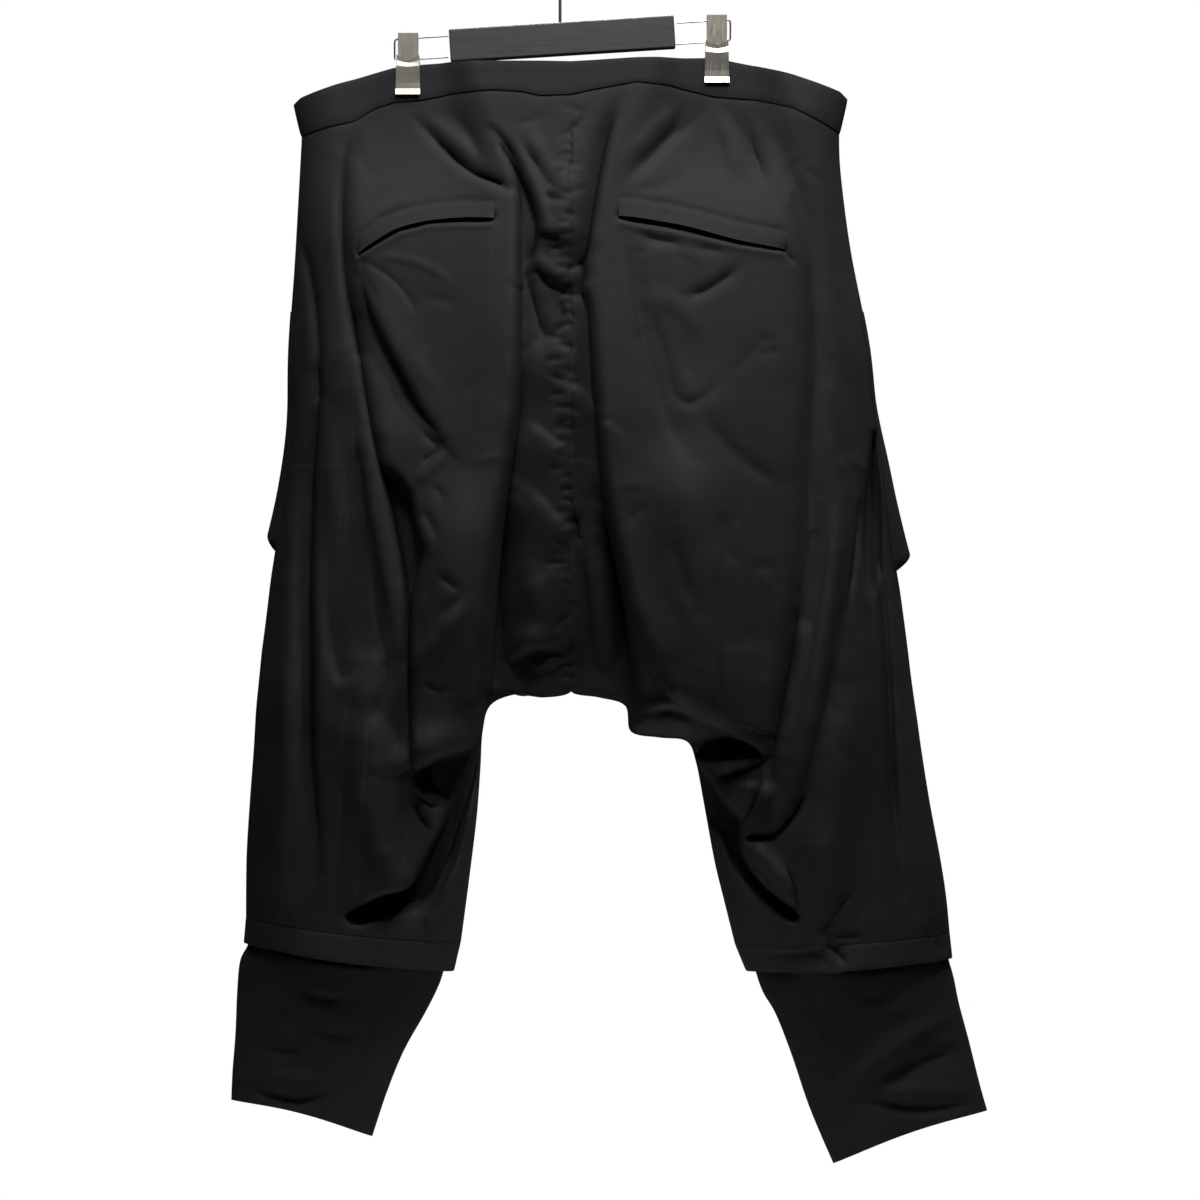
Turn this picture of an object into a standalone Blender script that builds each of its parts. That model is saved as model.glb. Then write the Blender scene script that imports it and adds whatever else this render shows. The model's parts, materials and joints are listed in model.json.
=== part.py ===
"""Drop-crotch harem trousers, hung by the waistband from a sliding clip hanger.

The frame: +Z is up, the front of the trousers faces -Y, the wearer's left is
+X, and the origin is the inside top of the hanger's hook. Sizes are in
millimetres and become metres where a mesh is made. A place on the cloth is
its distance x from the centre seams and its drop below the top of the
waistband.
"""

import math
from collections import namedtuple

import bmesh
import bpy
import numpy as np
from mathutils import Matrix, Vector
from mathutils.bvhtree import BVHTree

MM = 0.001
SEAM_GAP = 0.3
WAIST_BELOW_HOOK = 119.0

# Cloth walls
PANEL_WALL = 1.4
BAND_PROUD = 0.6
BAND_WALL = 2.4
HEM_WALL = 2.0
CUFF_WALL = 1.6
PATCH_WALL = 1.3
PATCH_GAP = 0.35
WELT_WALL = 1.4
WELT_GAP = 0.7

# Mesh steps: across a back panel, across a front one, waist to crotch, crotch to hem
BACK_STEPS = 18
FRONT_STEPS = 11
BODY_STEPS = 22
LEG_STEPS = 14
SETTLE_PASSES = 2

# Hanger
BAR_LENGTH = 191.5
BAR_HEIGHT = 27.5
BAR_DEPTH = 9.0
BAR_CENTRE = (7.5, -19.9)
BAR_TILT = math.radians(3.6)
WIRE = 1.5
WIRE_APART = 18.0
HOOK_WIRE = 2.6
HOOK_RADIUS = 20.0
CLIP_WIDTH = 21.0
CLIP_PLATE = 1.2
SLEEVE_LENGTH = 17.0
SLEEVE_HALF = 4.1
JAW_HALF_GAP = 3.3
JAW_NOTCH = 4.5
BUTTON_RADIUS = 7.5

WAIST_STANDOFF = 2.3
CLIP_HALF = 25.0

# A jaw's stand-off beyond the clothed gap, from its top at 0 to its foot at 1
JAW_PROFILE = ((0.0, 0.5), (0.12, 0.2), (0.3, 1.2), (0.55, 0.4), (0.7, 0.0), (0.93, 0.0), (1.0, 1.5))

Clip = namedtuple("Clip", "name x wire_drop jaw_top jaw_bottom")
CLIPS = (
    Clip("clip_left", 138.5, -2.5, -6.0, 28.0),
    Clip("clip_right", -124.0, -17.9, -18.5, 18.0),
)

# The edges of each half of the back: the centre seam, the crotch's underside
# and the inseam on the inner side, and the side seam on the outer side.
Row = namedtuple("Row", "inner_x inner_drop outer_x outer_drop")
CROTCH_ROW = 9
LEFT_ROWS = (
    Row(0, 29, 229, 63),
    Row(0, 80, 231, 100),
    Row(0, 160, 235, 170),
    Row(0, 245, 240, 245),
    Row(0, 313, 241, 313),
    Row(0, 372, 245, 365),
    Row(0, 430, 251, 410),
    Row(0, 480, 255.5, 440),
    Row(0, 515, 258.5, 465),
    Row(0, 535, 261, 485),
    Row(24, 540, 263, 500),
    Row(45, 537, 264.5, 515),
    Row(68, 546, 266, 530),
    Row(75, 568, 268, 551),
    Row(77, 600, 270, 585),
    Row(80, 640, 273, 625),
    Row(86, 690, 276, 675),
    Row(93.5, 747, 276.5, 726),
)
RIGHT_ROWS = (
    Row(0, 29, -228, 61),
    Row(0, 80, -229.5, 95),
    Row(0, 160, -238, 160),
    Row(0, 245, -253, 237),
    Row(0, 313, -259, 290),
    Row(0, 372, -266, 338),
    Row(0, 430, -270, 375),
    Row(0, 480, -274, 410),
    Row(0, 515, -277, 432),
    Row(0, 535, -280, 450),
    Row(-24, 540, -283, 472),
    Row(-46, 547, -286, 495),
    Row(-51, 569, -289, 520),
    Row(-75, 574, -292, 542),
    Row(-98, 577, -295, 562),
    Row(-106, 594, -298, 584),
    Row(-113, 630, -305, 628),
    Row(-122, 679, -314, 676),
    Row(-130, 712, -319, 708),
    Row(-139.5, 750, -322, 739),
)

# The waistband's edges, from the centre back out to each side
Waist = namedtuple("Waist", "x top seam")
WAIST_LINE = (
    Waist(-234, 31, 62),
    Waist(-228, 26, 60),
    Waist(-187, 12, 40),
    Waist(-158, 4, 32),
    Waist(-121, -3.5, 29),
    Waist(-84, -3, 20),
    Waist(-55, -2.5, 18),
    Waist(-18, 0, 25),
    Waist(0, 1, 29),
    Waist(26, 0.5, 30),
    Waist(42, 0.5, 26.5),
    Waist(65, 0.5, 25),
    Waist(102, 0.5, 27),
    Waist(127, 2.3, 32),
    Waist(151, 5, 34),
    Waist(168, 10, 40),
    Waist(184, 16, 51),
    Waist(229, 31, 63),
    Waist(236, 36, 66),
)

# The turned-up hem band's lower edge
Hem = namedtuple("Hem", "inner_x inner_drop outer_x outer_drop")
LEFT_HEM = Hem(100, 772, 278, 748)
RIGHT_HEM = Hem(-149.5, 772, -324, 761)

# How far the back and the front stand off the middle plane, and how wide the
# rounding is where they close at the outer and the inner edges
Depth = namedtuple("Depth", "drop back front outer_round inner_round")
DEPTHS = (
    Depth(-5, 10, 8, 34, 60),
    Depth(30, 12, 10, 38, 60),
    Depth(100, 24, 19, 56, 60),
    Depth(200, 38, 30, 78, 66),
    Depth(300, 48, 37, 90, 74),
    Depth(400, 54, 41, 95, 80),
    Depth(500, 56, 42, 96, 84),
    Depth(560, 52, 40, 96, 88),
    Depth(650, 42, 34, 94, 92),
    Depth(740, 34, 29, 88, 90),
    Depth(800, 30, 26, 84, 86),
)
EDGE_SHAPE = 0.72

# The largest folds of the back. push is how far the crest stands out, or the
# trough goes in, in mm. The spreads are its half-widths to the wearer's right
# and left, seen going down its path of (x, drop). crisp runs from a soft roll
# at 0 to a sharp crease at 1. hang is how far its cloth sags down, and start
# and end are the share of the push at the path's ends.
Fold = namedtuple("Fold", "push right left crisp hang start end path")
FOLDS = (
    # The valley along the centre seam, and the long folds on both sides of it
    Fold(-22, 36, 36, 0.0, 0, 0.2, 0.8, ((0, 60), (0, 150), (0, 300), (0, 450), (0, 540))),
    Fold(13, 15, 42, 0.0, 0, 0.1, 0.9,
         ((56, 96), (53, 181), (56, 236), (64, 290), (70, 338), (74, 397), (80, 444), (84, 502), (84, 545))),
    Fold(13, 45, 15, 0.0, 0, 0.1, 0.7,
         ((-38, 140), (-43, 218), (-46, 300), (-46, 360), (-56, 425), (-70, 480), (-92, 520), (-132, 546),
          (-166, 570))),
    Fold(-8, 14, 14, 0.0, 0, 0.1, 0.4, ((42, 240), (50, 340), (58, 420), (62, 500), (58, 540))),
    Fold(-9, 14, 14, 0.0, 0, 0.1, 0.5, ((-22, 370), (-32, 420), (-42, 480), (-46, 530))),
    # Drag lines that start at the clips
    Fold(-4, 12, 12, 0.2, 0, 0.5, 0.5, ((133, 45), (115, 63), (94, 85), (72, 104), (56, 112))),
    Fold(-7, 12, 13, 0.2, 0, 0.2, 0.6,
         ((62, 62), (54, 76), (45, 94), (34, 118), (26, 144), (18, 178), (8, 192))),
    Fold(-7, 13, 12, 0.2, 0, 0.3, 0.7,
         ((-46, 34), (-38, 52), (-29, 78), (-23, 100), (-20, 162), (-14, 194))),
    Fold(-4, 14, 14, 0.0, 0, 0.4, 0.2, ((-112, 34), (-84, 61), (-48, 104))),
    Fold(-4, 13, 13, 0.0, 0, 0.5, 0.1, ((-136, 38), (-150, 63), (-160, 93), (-164, 116))),
    Fold(-7, 18, 16, 0.0, 0, 0.2, 0.1,
         ((-173, 44), (-182, 80), (-195, 118), (-205, 162), (-212, 209), (-195, 304))),
    # Wearer's left: the long troughs towards the side, and the seat lobe's edge
    Fold(-7, 17, 15, 0.0, 0, 0.2, 0.6, ((184, 60), (190, 90), (192, 172), (186, 215), (176, 262))),
    Fold(-12, 16, 19, 0.0, 0, 0.2, 0.4,
         ((184, 230), (174, 304), (160, 358), (150, 405), (143, 444), (141, 520), (140, 592))),
    Fold(-8, 17, 15, 0.0, 0, 0.1, 0.1,
         ((230, 144), (214, 200), (212, 290), (216, 366), (217, 463), (213, 560), (208, 690))),
    Fold(7, 20, 20, 0.0, 0, 0.0, 0.2, ((196, 320), (192, 400), (186, 500), (180, 600), (176, 690))),
    Fold(11, 28, 14, 0.0, 4, 0.1, 0.8,
         ((108, 318), (118, 375), (116, 430), (115, 500), (115, 560), (114, 586))),
    Fold(6, 14, 14, 0.0, 6, 0.3, 0.5, ((128, 588), (112, 580), (92, 574), (80, 564))),
    Fold(-14, 15, 16, 0.0, 0, 0.3, 0.1, ((84, 592), (95, 620), (108, 650), (128, 680), (160, 708))),
    # Wearer's right: the side trough, the light roll and the stacked crotch folds
    Fold(-11, 16, 14, 0.0, 0, 0.1, 0.1,
         ((-252, 322), (-244, 352), (-237, 397), (-232, 440), (-232, 520))),
    Fold(9, 24, 16, 0.0, 0, 0.1, 0.2,
         ((-219, 346), (-216, 424), (-209, 483), (-198, 541), (-188, 592), (-173, 643))),
    Fold(-8, 14, 14, 0.0, 0, 0.1, 0.4, ((-190, 455), (-184, 490), (-174, 541), (-165, 584))),
    Fold(-11, 13, 13, 0.0, 0, 0.4, 0.5, ((-106, 590), (-133, 582), (-152, 587), (-166, 600))),
    Fold(7, 13, 13, 0.0, 3, 0.4, 0.3, ((-106, 611), (-132, 612), (-160, 614))),
    Fold(-9, 13, 13, 0.0, 0, 0.3, 0.4, ((-118, 638), (-142, 648), (-168, 657), (-192, 645))),
    Fold(6, 14, 13, 0.0, 2, 0.3, 0.2, ((-132, 668), (-156, 680), (-184, 702))),
    Fold(-9, 13, 13, 0.0, 0, 0.3, 0.2, ((-142, 694), (-162, 710), (-194, 730))),
)
FRONT_FOLD_SHARE = 0.8

# The single-welt back pockets: the welt's lower and upper edges
Welt = namedtuple("Welt", "x mouth top")
LEFT_WELT = (
    Welt(64, 136, 124),
    Welt(91, 136, 122.5),
    Welt(118, 138.5, 125),
    Welt(144, 145, 131),
    Welt(162, 155, 140),
    Welt(177, 167, 153),
)
RIGHT_WELT = (
    Welt(-40, 135, 120),
    Welt(-65, 138, 122.5),
    Welt(-103, 144.5, 130),
    Welt(-139, 155, 140),
    Welt(-180, 163.5, 149),
)

# The cuffs' edges, and how far their back and front stand off the middle
Cuff = namedtuple("Cuff", "inner_x inner_drop outer_x outer_drop back front")
LEFT_CUFF = (
    Cuff(106, 757, 273.5, 736, 25, 21),
    Cuff(108, 771, 274.5, 749, 24, 20),
    Cuff(113, 786, 281.5, 764, 20, 17),
    Cuff(124, 808, 284, 790, 17, 15),
    Cuff(142, 840, 285.5, 826, 15, 13),
    Cuff(156, 874, 288, 858, 13, 11),
    Cuff(169, 913, 289, 882, 11, 9),
)
RIGHT_CUFF = (
    Cuff(-154, 757, -318.5, 746, 25, 21),
    Cuff(-156.5, 771, -320.5, 760, 24, 20),
    Cuff(-163, 790, -325.5, 778, 20, 17),
    Cuff(-174, 809, -330, 800, 17, 15),
    Cuff(-187, 842, -338, 830, 15, 13),
    Cuff(-203, 889, -347.5, 868, 13, 11),
    Cuff(-223, 936, -354, 891, 11, 9),
)
CUFF_DIP = 6.0


def smooth(table, at):
    """The table's columns at fractional rows, on a smooth curve through its rows."""
    rows = np.array(table, float)
    at = np.clip(np.asarray(at, float), 0, len(rows) - 1)
    first = np.minimum(at.astype(int), len(rows) - 2)
    f = (at - first)[:, None]
    a, b = rows[first], rows[first + 1]
    before = rows[np.maximum(first - 1, 0)]
    after = rows[np.minimum(first + 2, len(rows) - 1)]
    cubic = (3 * a - 3 * b + after - before) * f**3
    square = (2 * before - 5 * a + 4 * b - after) * f**2
    return 0.5 * (2 * a + (b - before) * f + square + cubic)


def edge_rows(table, at):
    """Inner and outer edge points, with the centre seam kept on x = 0."""
    rows = smooth(table, at)
    side = np.sign(table[0].outer_x)
    rows[:, 0] = side * np.maximum(side * rows[:, 0], 0)
    rows[np.asarray(at) <= CROTCH_ROW, 0] = 0
    return rows


def even_steps(table, start, end, steps):
    """Fractional rows from start to end, about evenly spaced along both edges."""
    at = np.linspace(start, end, 400)
    rows = edge_rows(table, at)
    inner = np.hypot(*np.diff(rows[:, :2], axis=0).T)
    outer = np.hypot(*np.diff(rows[:, 2:], axis=0).T)
    length = np.append(0, np.cumsum(inner + outer))
    return np.interp(np.linspace(0, length[-1], steps + 1), length, at)


def edge_paths(table, hem):
    """The outer and the inner edge as lines of (x, drop)."""
    outer = edge_rows(table, np.linspace(0, len(table) - 1, 80))[:, 2:]
    inner = edge_rows(table, np.linspace(CROTCH_ROW, len(table) - 1, 60))[:, :2]
    side = np.sign(table[0].outer_x)
    top = [side * 236, 30]
    outer = np.vstack((top, outer, (hem.outer_x, hem.outer_drop)))
    return outer, np.vstack((inner, (hem.inner_x, hem.inner_drop)))


LEFT_OUTER, LEFT_INNER = edge_paths(LEFT_ROWS, LEFT_HEM)
RIGHT_OUTER, RIGHT_INNER = edge_paths(RIGHT_ROWS, RIGHT_HEM)


def nearest(points, path):
    """Distance from each point to the path, its side, and the share of the path before it."""
    steps = np.diff(path, axis=0)
    lengths = np.hypot(*steps.T)
    starts = np.append(0, np.cumsum(lengths))
    best = np.full(len(points), 1e9)
    side = np.zeros(len(points))
    share = np.zeros(len(points))
    for a, step, length, start in zip(path, steps, lengths, starts):
        offset = points - a
        along = np.clip(offset @ step / length**2, 0, 1)
        away = np.hypot(*(offset - along[:, None] * step).T)
        nearer = away < best
        best[nearer] = away[nearer]
        side[nearer] = (step[0] * offset[:, 1] - step[1] * offset[:, 0])[nearer]
        share[nearer] = (start + along[nearer] * length) / starts[-1]
    return best, side, share


def ease(value):
    value = np.clip(value, 0, 1)
    return value * value * (3 - 2 * value)


def rounded(path):
    """The path with its corners cut twice."""
    path = np.array(path, float)
    for _ in range(2):
        quarter = 0.75 * path[:-1] + 0.25 * path[1:]
        three = 0.25 * path[:-1] + 0.75 * path[1:]
        middle = np.stack((quarter, three), axis=1).reshape(-1, 2)
        path = np.vstack((path[:1], middle[1:-1], path[-1:]))
    return path


def fold_field(points, folds):
    """The push and the hang of all the folds at the points."""
    push = np.zeros(len(points))
    hang = np.zeros(len(points))
    for fold in folds:
        away, side, share = nearest(points, rounded(fold.path))
        q = away / np.where(side > 0, fold.right, fold.left)
        soft = np.exp(-1.4 * q**2)
        sharp = np.exp(-2 * (np.sqrt(q**2 + 0.03) - 0.173))
        ends = np.minimum(
            fold.start + (1 - fold.start) * ease(share / 0.3),
            fold.end + (1 - fold.end) * ease((1 - share) / 0.3),
        )
        shape = ((1 - fold.crisp) * soft + fold.crisp * sharp) * ends
        push += fold.push * shape
        hang += fold.hang * shape
    return push, hang


def inner_and_outer_x(drop, inner, outer):
    rising = np.maximum.accumulate(inner[:, 1])
    inside = np.where(drop < rising[0], 0, np.interp(drop, rising, inner[:, 0]))
    return inside, np.interp(drop, outer[:, 1], outer[:, 0])


def mirrored(points):
    """Each point's counterpart on the other half, at the same share of its width."""
    x, drop = points.T
    left = inner_and_outer_x(drop, LEFT_INNER, LEFT_OUTER)
    right = inner_and_outer_x(drop, RIGHT_INNER, RIGHT_OUTER)
    from_left = (x - left[0]) / (left[1] - left[0])
    from_right = (x - right[0]) / (right[1] - right[0])
    to_right = right[0] + from_left * (right[1] - right[0])
    to_left = left[0] + from_right * (left[1] - left[0])
    return np.stack((np.where(x > 0, to_right, to_left), drop), axis=1)


def cloth(face, x, drop):
    """Points of the cloth's outer surface. face is 1 on the back and -1 on the front."""
    shape = np.shape(x)
    points = np.stack((np.ravel(x), np.ravel(drop)), axis=1).astype(float)
    x, drop = points.T
    table = np.array(DEPTHS, float)
    levels = [np.interp(drop, table[:, 0], column) for column in table[:, 1:].T]
    depth = levels[0] if face > 0 else levels[1]
    seam = np.interp(x, *np.array([(w.x, w.seam) for w in WAIST_LINE], float).T)
    held = np.zeros(len(x))
    for clip in CLIPS:
        beside = (np.abs(x - clip.x) - CLIP_HALF) / (30 + 0.4 * np.maximum(drop, 0))
        held += (1 - ease(beside)) * (1 - ease((drop - 28) / 130))
    depth = WAIST_STANDOFF + (depth - WAIST_STANDOFF) * (1 - np.clip(held, 0, 1))
    outer = np.minimum(nearest(points, LEFT_OUTER)[0], nearest(points, RIGHT_OUTER)[0])
    inner = np.minimum(nearest(points, LEFT_INNER)[0], nearest(points, RIGHT_INNER)[0])
    close = np.ones(len(x))
    for away, reach in ((outer, levels[2]), (inner, levels[3])):
        q = np.clip(away / reach, 0, 1)
        close = close * (q * (2 - q)) ** EDGE_SHAPE
    push, hang = fold_field(points if face > 0 else mirrored(points), FOLDS)
    share = (1 if face > 0 else FRONT_FOLD_SHARE) * close
    share = share * (0.15 + 0.85 * ease((drop - seam) / 40))
    y = np.maximum(depth * close + push * share, WAIST_STANDOFF * np.minimum(close * 4, 1))
    z = -(drop + hang * share) - WAIST_BELOW_HOOK
    return np.stack((x, face * y, z), axis=1).reshape(*shape, 3)


def columns(steps, both_ends):
    """Shares of the width from the inner to the outer edge, closer together at the edges."""
    even = np.arange(steps + 1) / steps
    if both_ends:
        return 0.4 * even + 0.6 * (0.5 - 0.5 * np.cos(np.pi * even))
    return 0.45 * even + 0.55 * np.sin(0.5 * np.pi * even)


def panel_places(table, steps):
    """(x, drop) of a panel's mesh, a row for each level and a column for each step across."""
    body = even_steps(LEFT_ROWS, 0, CROTCH_ROW, BODY_STEPS)
    leg = even_steps(table, CROTCH_ROW, len(table) - 1, LEG_STEPS)
    at = np.append(body, leg[1:])
    rows = edge_rows(table, at)
    wide, narrow = columns(steps, False), columns(steps, True)
    part = ease((at - CROTCH_ROW + 3) / 4)[:, None]
    share = (1 - part) * wide + part * narrow
    x = rows[:, :1] + share * (rows[:, 2:3] - rows[:, :1])
    drop = rows[:, 1:2] + share * (rows[:, 3:] - rows[:, 1:2])
    waist = np.array(WAIST_LINE, float)
    dip = np.interp(x[0], waist[:, 0], waist[:, 2]) - drop[0]
    dip[0] = 0
    dip[-1] = 0
    fade = 1 - ease((drop - 60) / 220)
    return x, drop + dip * fade


def band_places(x, drop, steps):
    """(x, drop) of the waistband above a panel's top row."""
    waist = np.array(WAIST_LINE, float)
    top_x = x[0] * (1 + 0.03 * (np.abs(x[0]) / 229) ** 3)
    top_drop = np.interp(top_x, waist[:, 0], waist[:, 1])
    share = np.linspace(0, 1, steps + 1)[:, None]
    return top_x + share * (x[0] - top_x), top_drop + share * (drop[0] - top_drop)


def hem_places(x, drop, hem, steps):
    """(x, drop) of the hem band below a panel's last row."""
    width = x[-1, -1] - x[-1, 0]
    across = (x[-1] - x[-1, 0]) / width
    low_x = hem.inner_x + across * (hem.outer_x - hem.inner_x)
    low_drop = hem.inner_drop + across * (hem.outer_drop - hem.inner_drop)
    share = np.linspace(0, 1, steps + 1)[:, None]
    return x[-1] + share * (low_x - x[-1]), drop[-1] + share * (low_drop - drop[-1])


def shared_normals(grids, turns):
    """Outward normals of grids that meet, the same for both at a shared point."""
    flat = np.concatenate([g.reshape(-1, 3) for g in grids]) + 0.0
    _, place = np.unique(np.round(flat, 3) + 0.0, axis=0, return_inverse=True)
    place = place.reshape(-1)
    sums = np.zeros((place.max() + 1, 3))
    start = 0
    for grid, turn in zip(grids, turns):
        one = grid[1:, 1:] - grid[:-1, :-1]
        other = grid[1:, :-1] - grid[:-1, 1:]
        normal = turn * np.cross(one, other).reshape(-1, 3)
        ids = place[start : start + grid.shape[0] * grid.shape[1]].reshape(grid.shape[:2])
        for corner in (ids[:-1, :-1], ids[1:, :-1], ids[:-1, 1:], ids[1:, 1:]):
            np.add.at(sums, corner.reshape(-1), normal)
        start += ids.size
    sums /= np.linalg.norm(sums, axis=1)[:, None] + 1e-12
    normals = sums[place]
    found, start = [], 0
    for grid in grids:
        size = grid.shape[0] * grid.shape[1]
        found.append(normals[start : start + size].reshape(grid.shape))
        start += size
    return found


def along_surface(shift, normals):
    return shift - (shift * normals).sum(axis=-1, keepdims=True) * normals


def material(name, colour, roughness, metallic=0.0):
    made = bpy.data.materials.new(name)
    made.use_nodes = True
    shader = made.node_tree.nodes["Principled BSDF"]
    shader.inputs["Base Color"].default_value = (*colour, 1.0)
    shader.inputs["Roughness"].default_value = roughness
    shader.inputs["Metallic"].default_value = metallic
    return made


def add_object(name, bm, surface, collection):
    mesh = bpy.data.meshes.new(name)
    bm.to_mesh(mesh)
    bm.free()
    mesh.materials.append(surface)
    mesh.shade_smooth()
    mesh.set_sharp_from_angle(angle=math.radians(50))
    made = bpy.data.objects.new(name, mesh)
    collection.objects.link(made)
    return made


def wall(name, outer, inner, surface, collection, ring=False):
    """A closed cloth wall between an outer and an inner sheet of points, in mm.

    The outer sheet is a grid moved into place. It is extruded, and the new
    sheet takes the inner points. A ring has its first and last columns joined.
    """
    rows, cols = outer.shape[0] - 1, outer.shape[1] - 1
    bm = bmesh.new()
    row_of = bm.verts.layers.int.new("row")
    col_of = bm.verts.layers.int.new("col")
    bmesh.ops.create_grid(bm, x_segments=cols, y_segments=rows, size=1)
    for vert in bm.verts:
        vert[col_of] = round((vert.co.x + 1) / 2 * cols)
        vert[row_of] = round((vert.co.y + 1) / 2 * rows)
    for vert in bm.verts:
        vert.co = outer[vert[row_of], vert[col_of]] * MM
    if ring:
        seam = [v for v in bm.verts if v[col_of] in (0, cols)]
        bmesh.ops.remove_doubles(bm, verts=seam, dist=1e-7)
    made = bmesh.ops.extrude_face_region(bm, geom=bm.faces[:])
    for item in made["geom"]:
        if isinstance(item, bmesh.types.BMVert):
            item.co = inner[item[row_of], item[col_of]] * MM
    bmesh.ops.recalc_face_normals(bm, faces=bm.faces[:])
    bmesh.ops.triangulate(bm, faces=bm.faces[:], quad_method="SHORT_EDGE")
    return add_object(name, bm, surface, collection)


def settle(grid):
    """Eases the folds of a panel between its edges, as the cloth's stiffness does."""
    for _ in range(SETTLE_PASSES):
        depth = grid[:, :, 1]
        around = depth[:-2, 1:-1] + depth[2:, 1:-1] + depth[1:-1, :-2] + depth[1:-1, 2:]
        depth[1:-1, 1:-1] += 0.5 * (around / 4 - depth[1:-1, 1:-1])


def garment_grids():
    """Every grid of the cloth's outer surface, with its normals."""
    places = {}
    for side, table, hem in (("left", LEFT_ROWS, LEFT_HEM), ("right", RIGHT_ROWS, RIGHT_HEM)):
        for face, steps in (("back", BACK_STEPS), ("front", FRONT_STEPS)):
            x, drop = panel_places(table, steps)
            places[side, face, "panel"] = x, drop
            places[side, face, "band"] = band_places(x, drop, 2)
            places[side, face, "hem"] = hem_places(x, drop, hem, 2)
    grids, turns = {}, []
    for key, (x, drop) in places.items():
        grid = cloth(1 if key[1] == "back" else -1, x, drop)
        flat = np.stack((x, np.zeros_like(x), -drop - WAIST_BELOW_HOOK), axis=2)
        grid[:, -1] = flat[:, -1]
        inseam = {"band": len(x), "panel": BODY_STEPS, "hem": 0}[key[2]]
        grid[inseam:, 0] = flat[inseam:, 0]
        grids[key] = grid
        same_way = (key[0] == "left") == (key[1] == "back")
        turns.append(1 if same_way else -1)
    for key, grid in grids.items():
        if key[2] == "panel":
            settle(grid)
    normals = dict(zip(grids, shared_normals(list(grids.values()), turns)))
    return grids, normals


def seam_shift(grid, side, face):
    """How a panel's edges draw back to leave the seams' gaps."""
    shift = np.zeros_like(grid)
    half = SEAM_GAP / 2
    shift[:, -1, 1] = face * half
    shift[: BODY_STEPS + 1, 0, 0] = side * half
    shift[BODY_STEPS:, 0, 1] = face * half
    shift[0, :, 2] = -half
    shift[-1, :, 2] = half
    return shift


def make_panels(grids, normals, surface, collection):
    for key, grid in grids.items():
        if key[2] != "panel":
            continue
        side = 1 if key[0] == "left" else -1
        face = 1 if key[1] == "back" else -1
        normal = normals[key]
        shift = along_surface(seam_shift(grid, side, face), normal)
        wall(f"{key[1]}_{key[0]}", grid + shift, grid + shift - PANEL_WALL * normal, surface, collection)


def joined(left, right):
    """The right half's columns and then the left half's, as one grid from side to side."""
    return np.concatenate((right[:, ::-1], left[:, 1:]), axis=1)


def make_waistband(grids, normals, surface, collection):
    """The back in one piece, and two front halves, the left one lapping the right."""
    grid = joined(grids["left", "back", "band"], grids["right", "back", "band"])
    normal = joined(normals["left", "back", "band"], normals["right", "back", "band"])
    shift = np.zeros_like(grid)
    shift[-1, :, 2] = SEAM_GAP / 2
    shift[:, (0, -1), 1] = SEAM_GAP / 2
    grid = grid + along_surface(shift, normal)
    out = BAND_PROUD
    wall("waistband_back", grid + out * normal, grid + (out - BAND_WALL) * normal, surface, collection)
    lap = 2
    left = np.concatenate(
        (grids["right", "front", "band"][:, lap:0:-1], grids["left", "front", "band"]), axis=1
    )
    left_normal = np.concatenate(
        (normals["right", "front", "band"][:, lap:0:-1], normals["left", "front", "band"]), axis=1
    )
    lift = np.full(left.shape[1], BAND_PROUD)
    lift[: lap + 1] += BAND_WALL + 0.4
    shift = np.zeros_like(left)
    shift[-1, :, 2] = SEAM_GAP / 2
    shift[:, -1, 1] = -SEAM_GAP / 2
    left = left + along_surface(shift, left_normal)
    wall(
        "waistband_front_left",
        left + lift[None, :, None] * left_normal,
        left + (lift - BAND_WALL)[None, :, None] * left_normal,
        surface,
        collection,
    )
    right = grids["right", "front", "band"]
    normal = normals["right", "front", "band"]
    shift = np.zeros_like(right)
    shift[-1, :, 2] = SEAM_GAP / 2
    shift[:, -1, 1] = -SEAM_GAP / 2
    shift[:, 0, 0] = -SEAM_GAP
    right = right + along_surface(shift, normal)
    outer, inner = right + out * normal, right + (out - BAND_WALL) * normal
    wall("waistband_front_right", outer, inner, surface, collection)
    return left[1, 1] + lift[1] * left_normal[1, 1], left_normal[1, 1]


def make_hems(grids, normals, surface, collection):
    for side in ("left", "right"):
        grid = np.concatenate(
            (grids[side, "back", "hem"], grids[side, "front", "hem"][:, -2::-1]), axis=1
        )
        normal = np.concatenate(
            (normals[side, "back", "hem"], normals[side, "front", "hem"][:, -2::-1]), axis=1
        )
        shift = np.zeros_like(grid)
        shift[0, :, 2] = -SEAM_GAP / 2
        grid = grid + along_surface(shift, normal)
        out = BAND_PROUD
        wall(
            f"hem_band_{side}",
            grid + out * normal,
            grid + (out - HEM_WALL) * normal,
            surface,
            collection,
            ring=True,
        )


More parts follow.
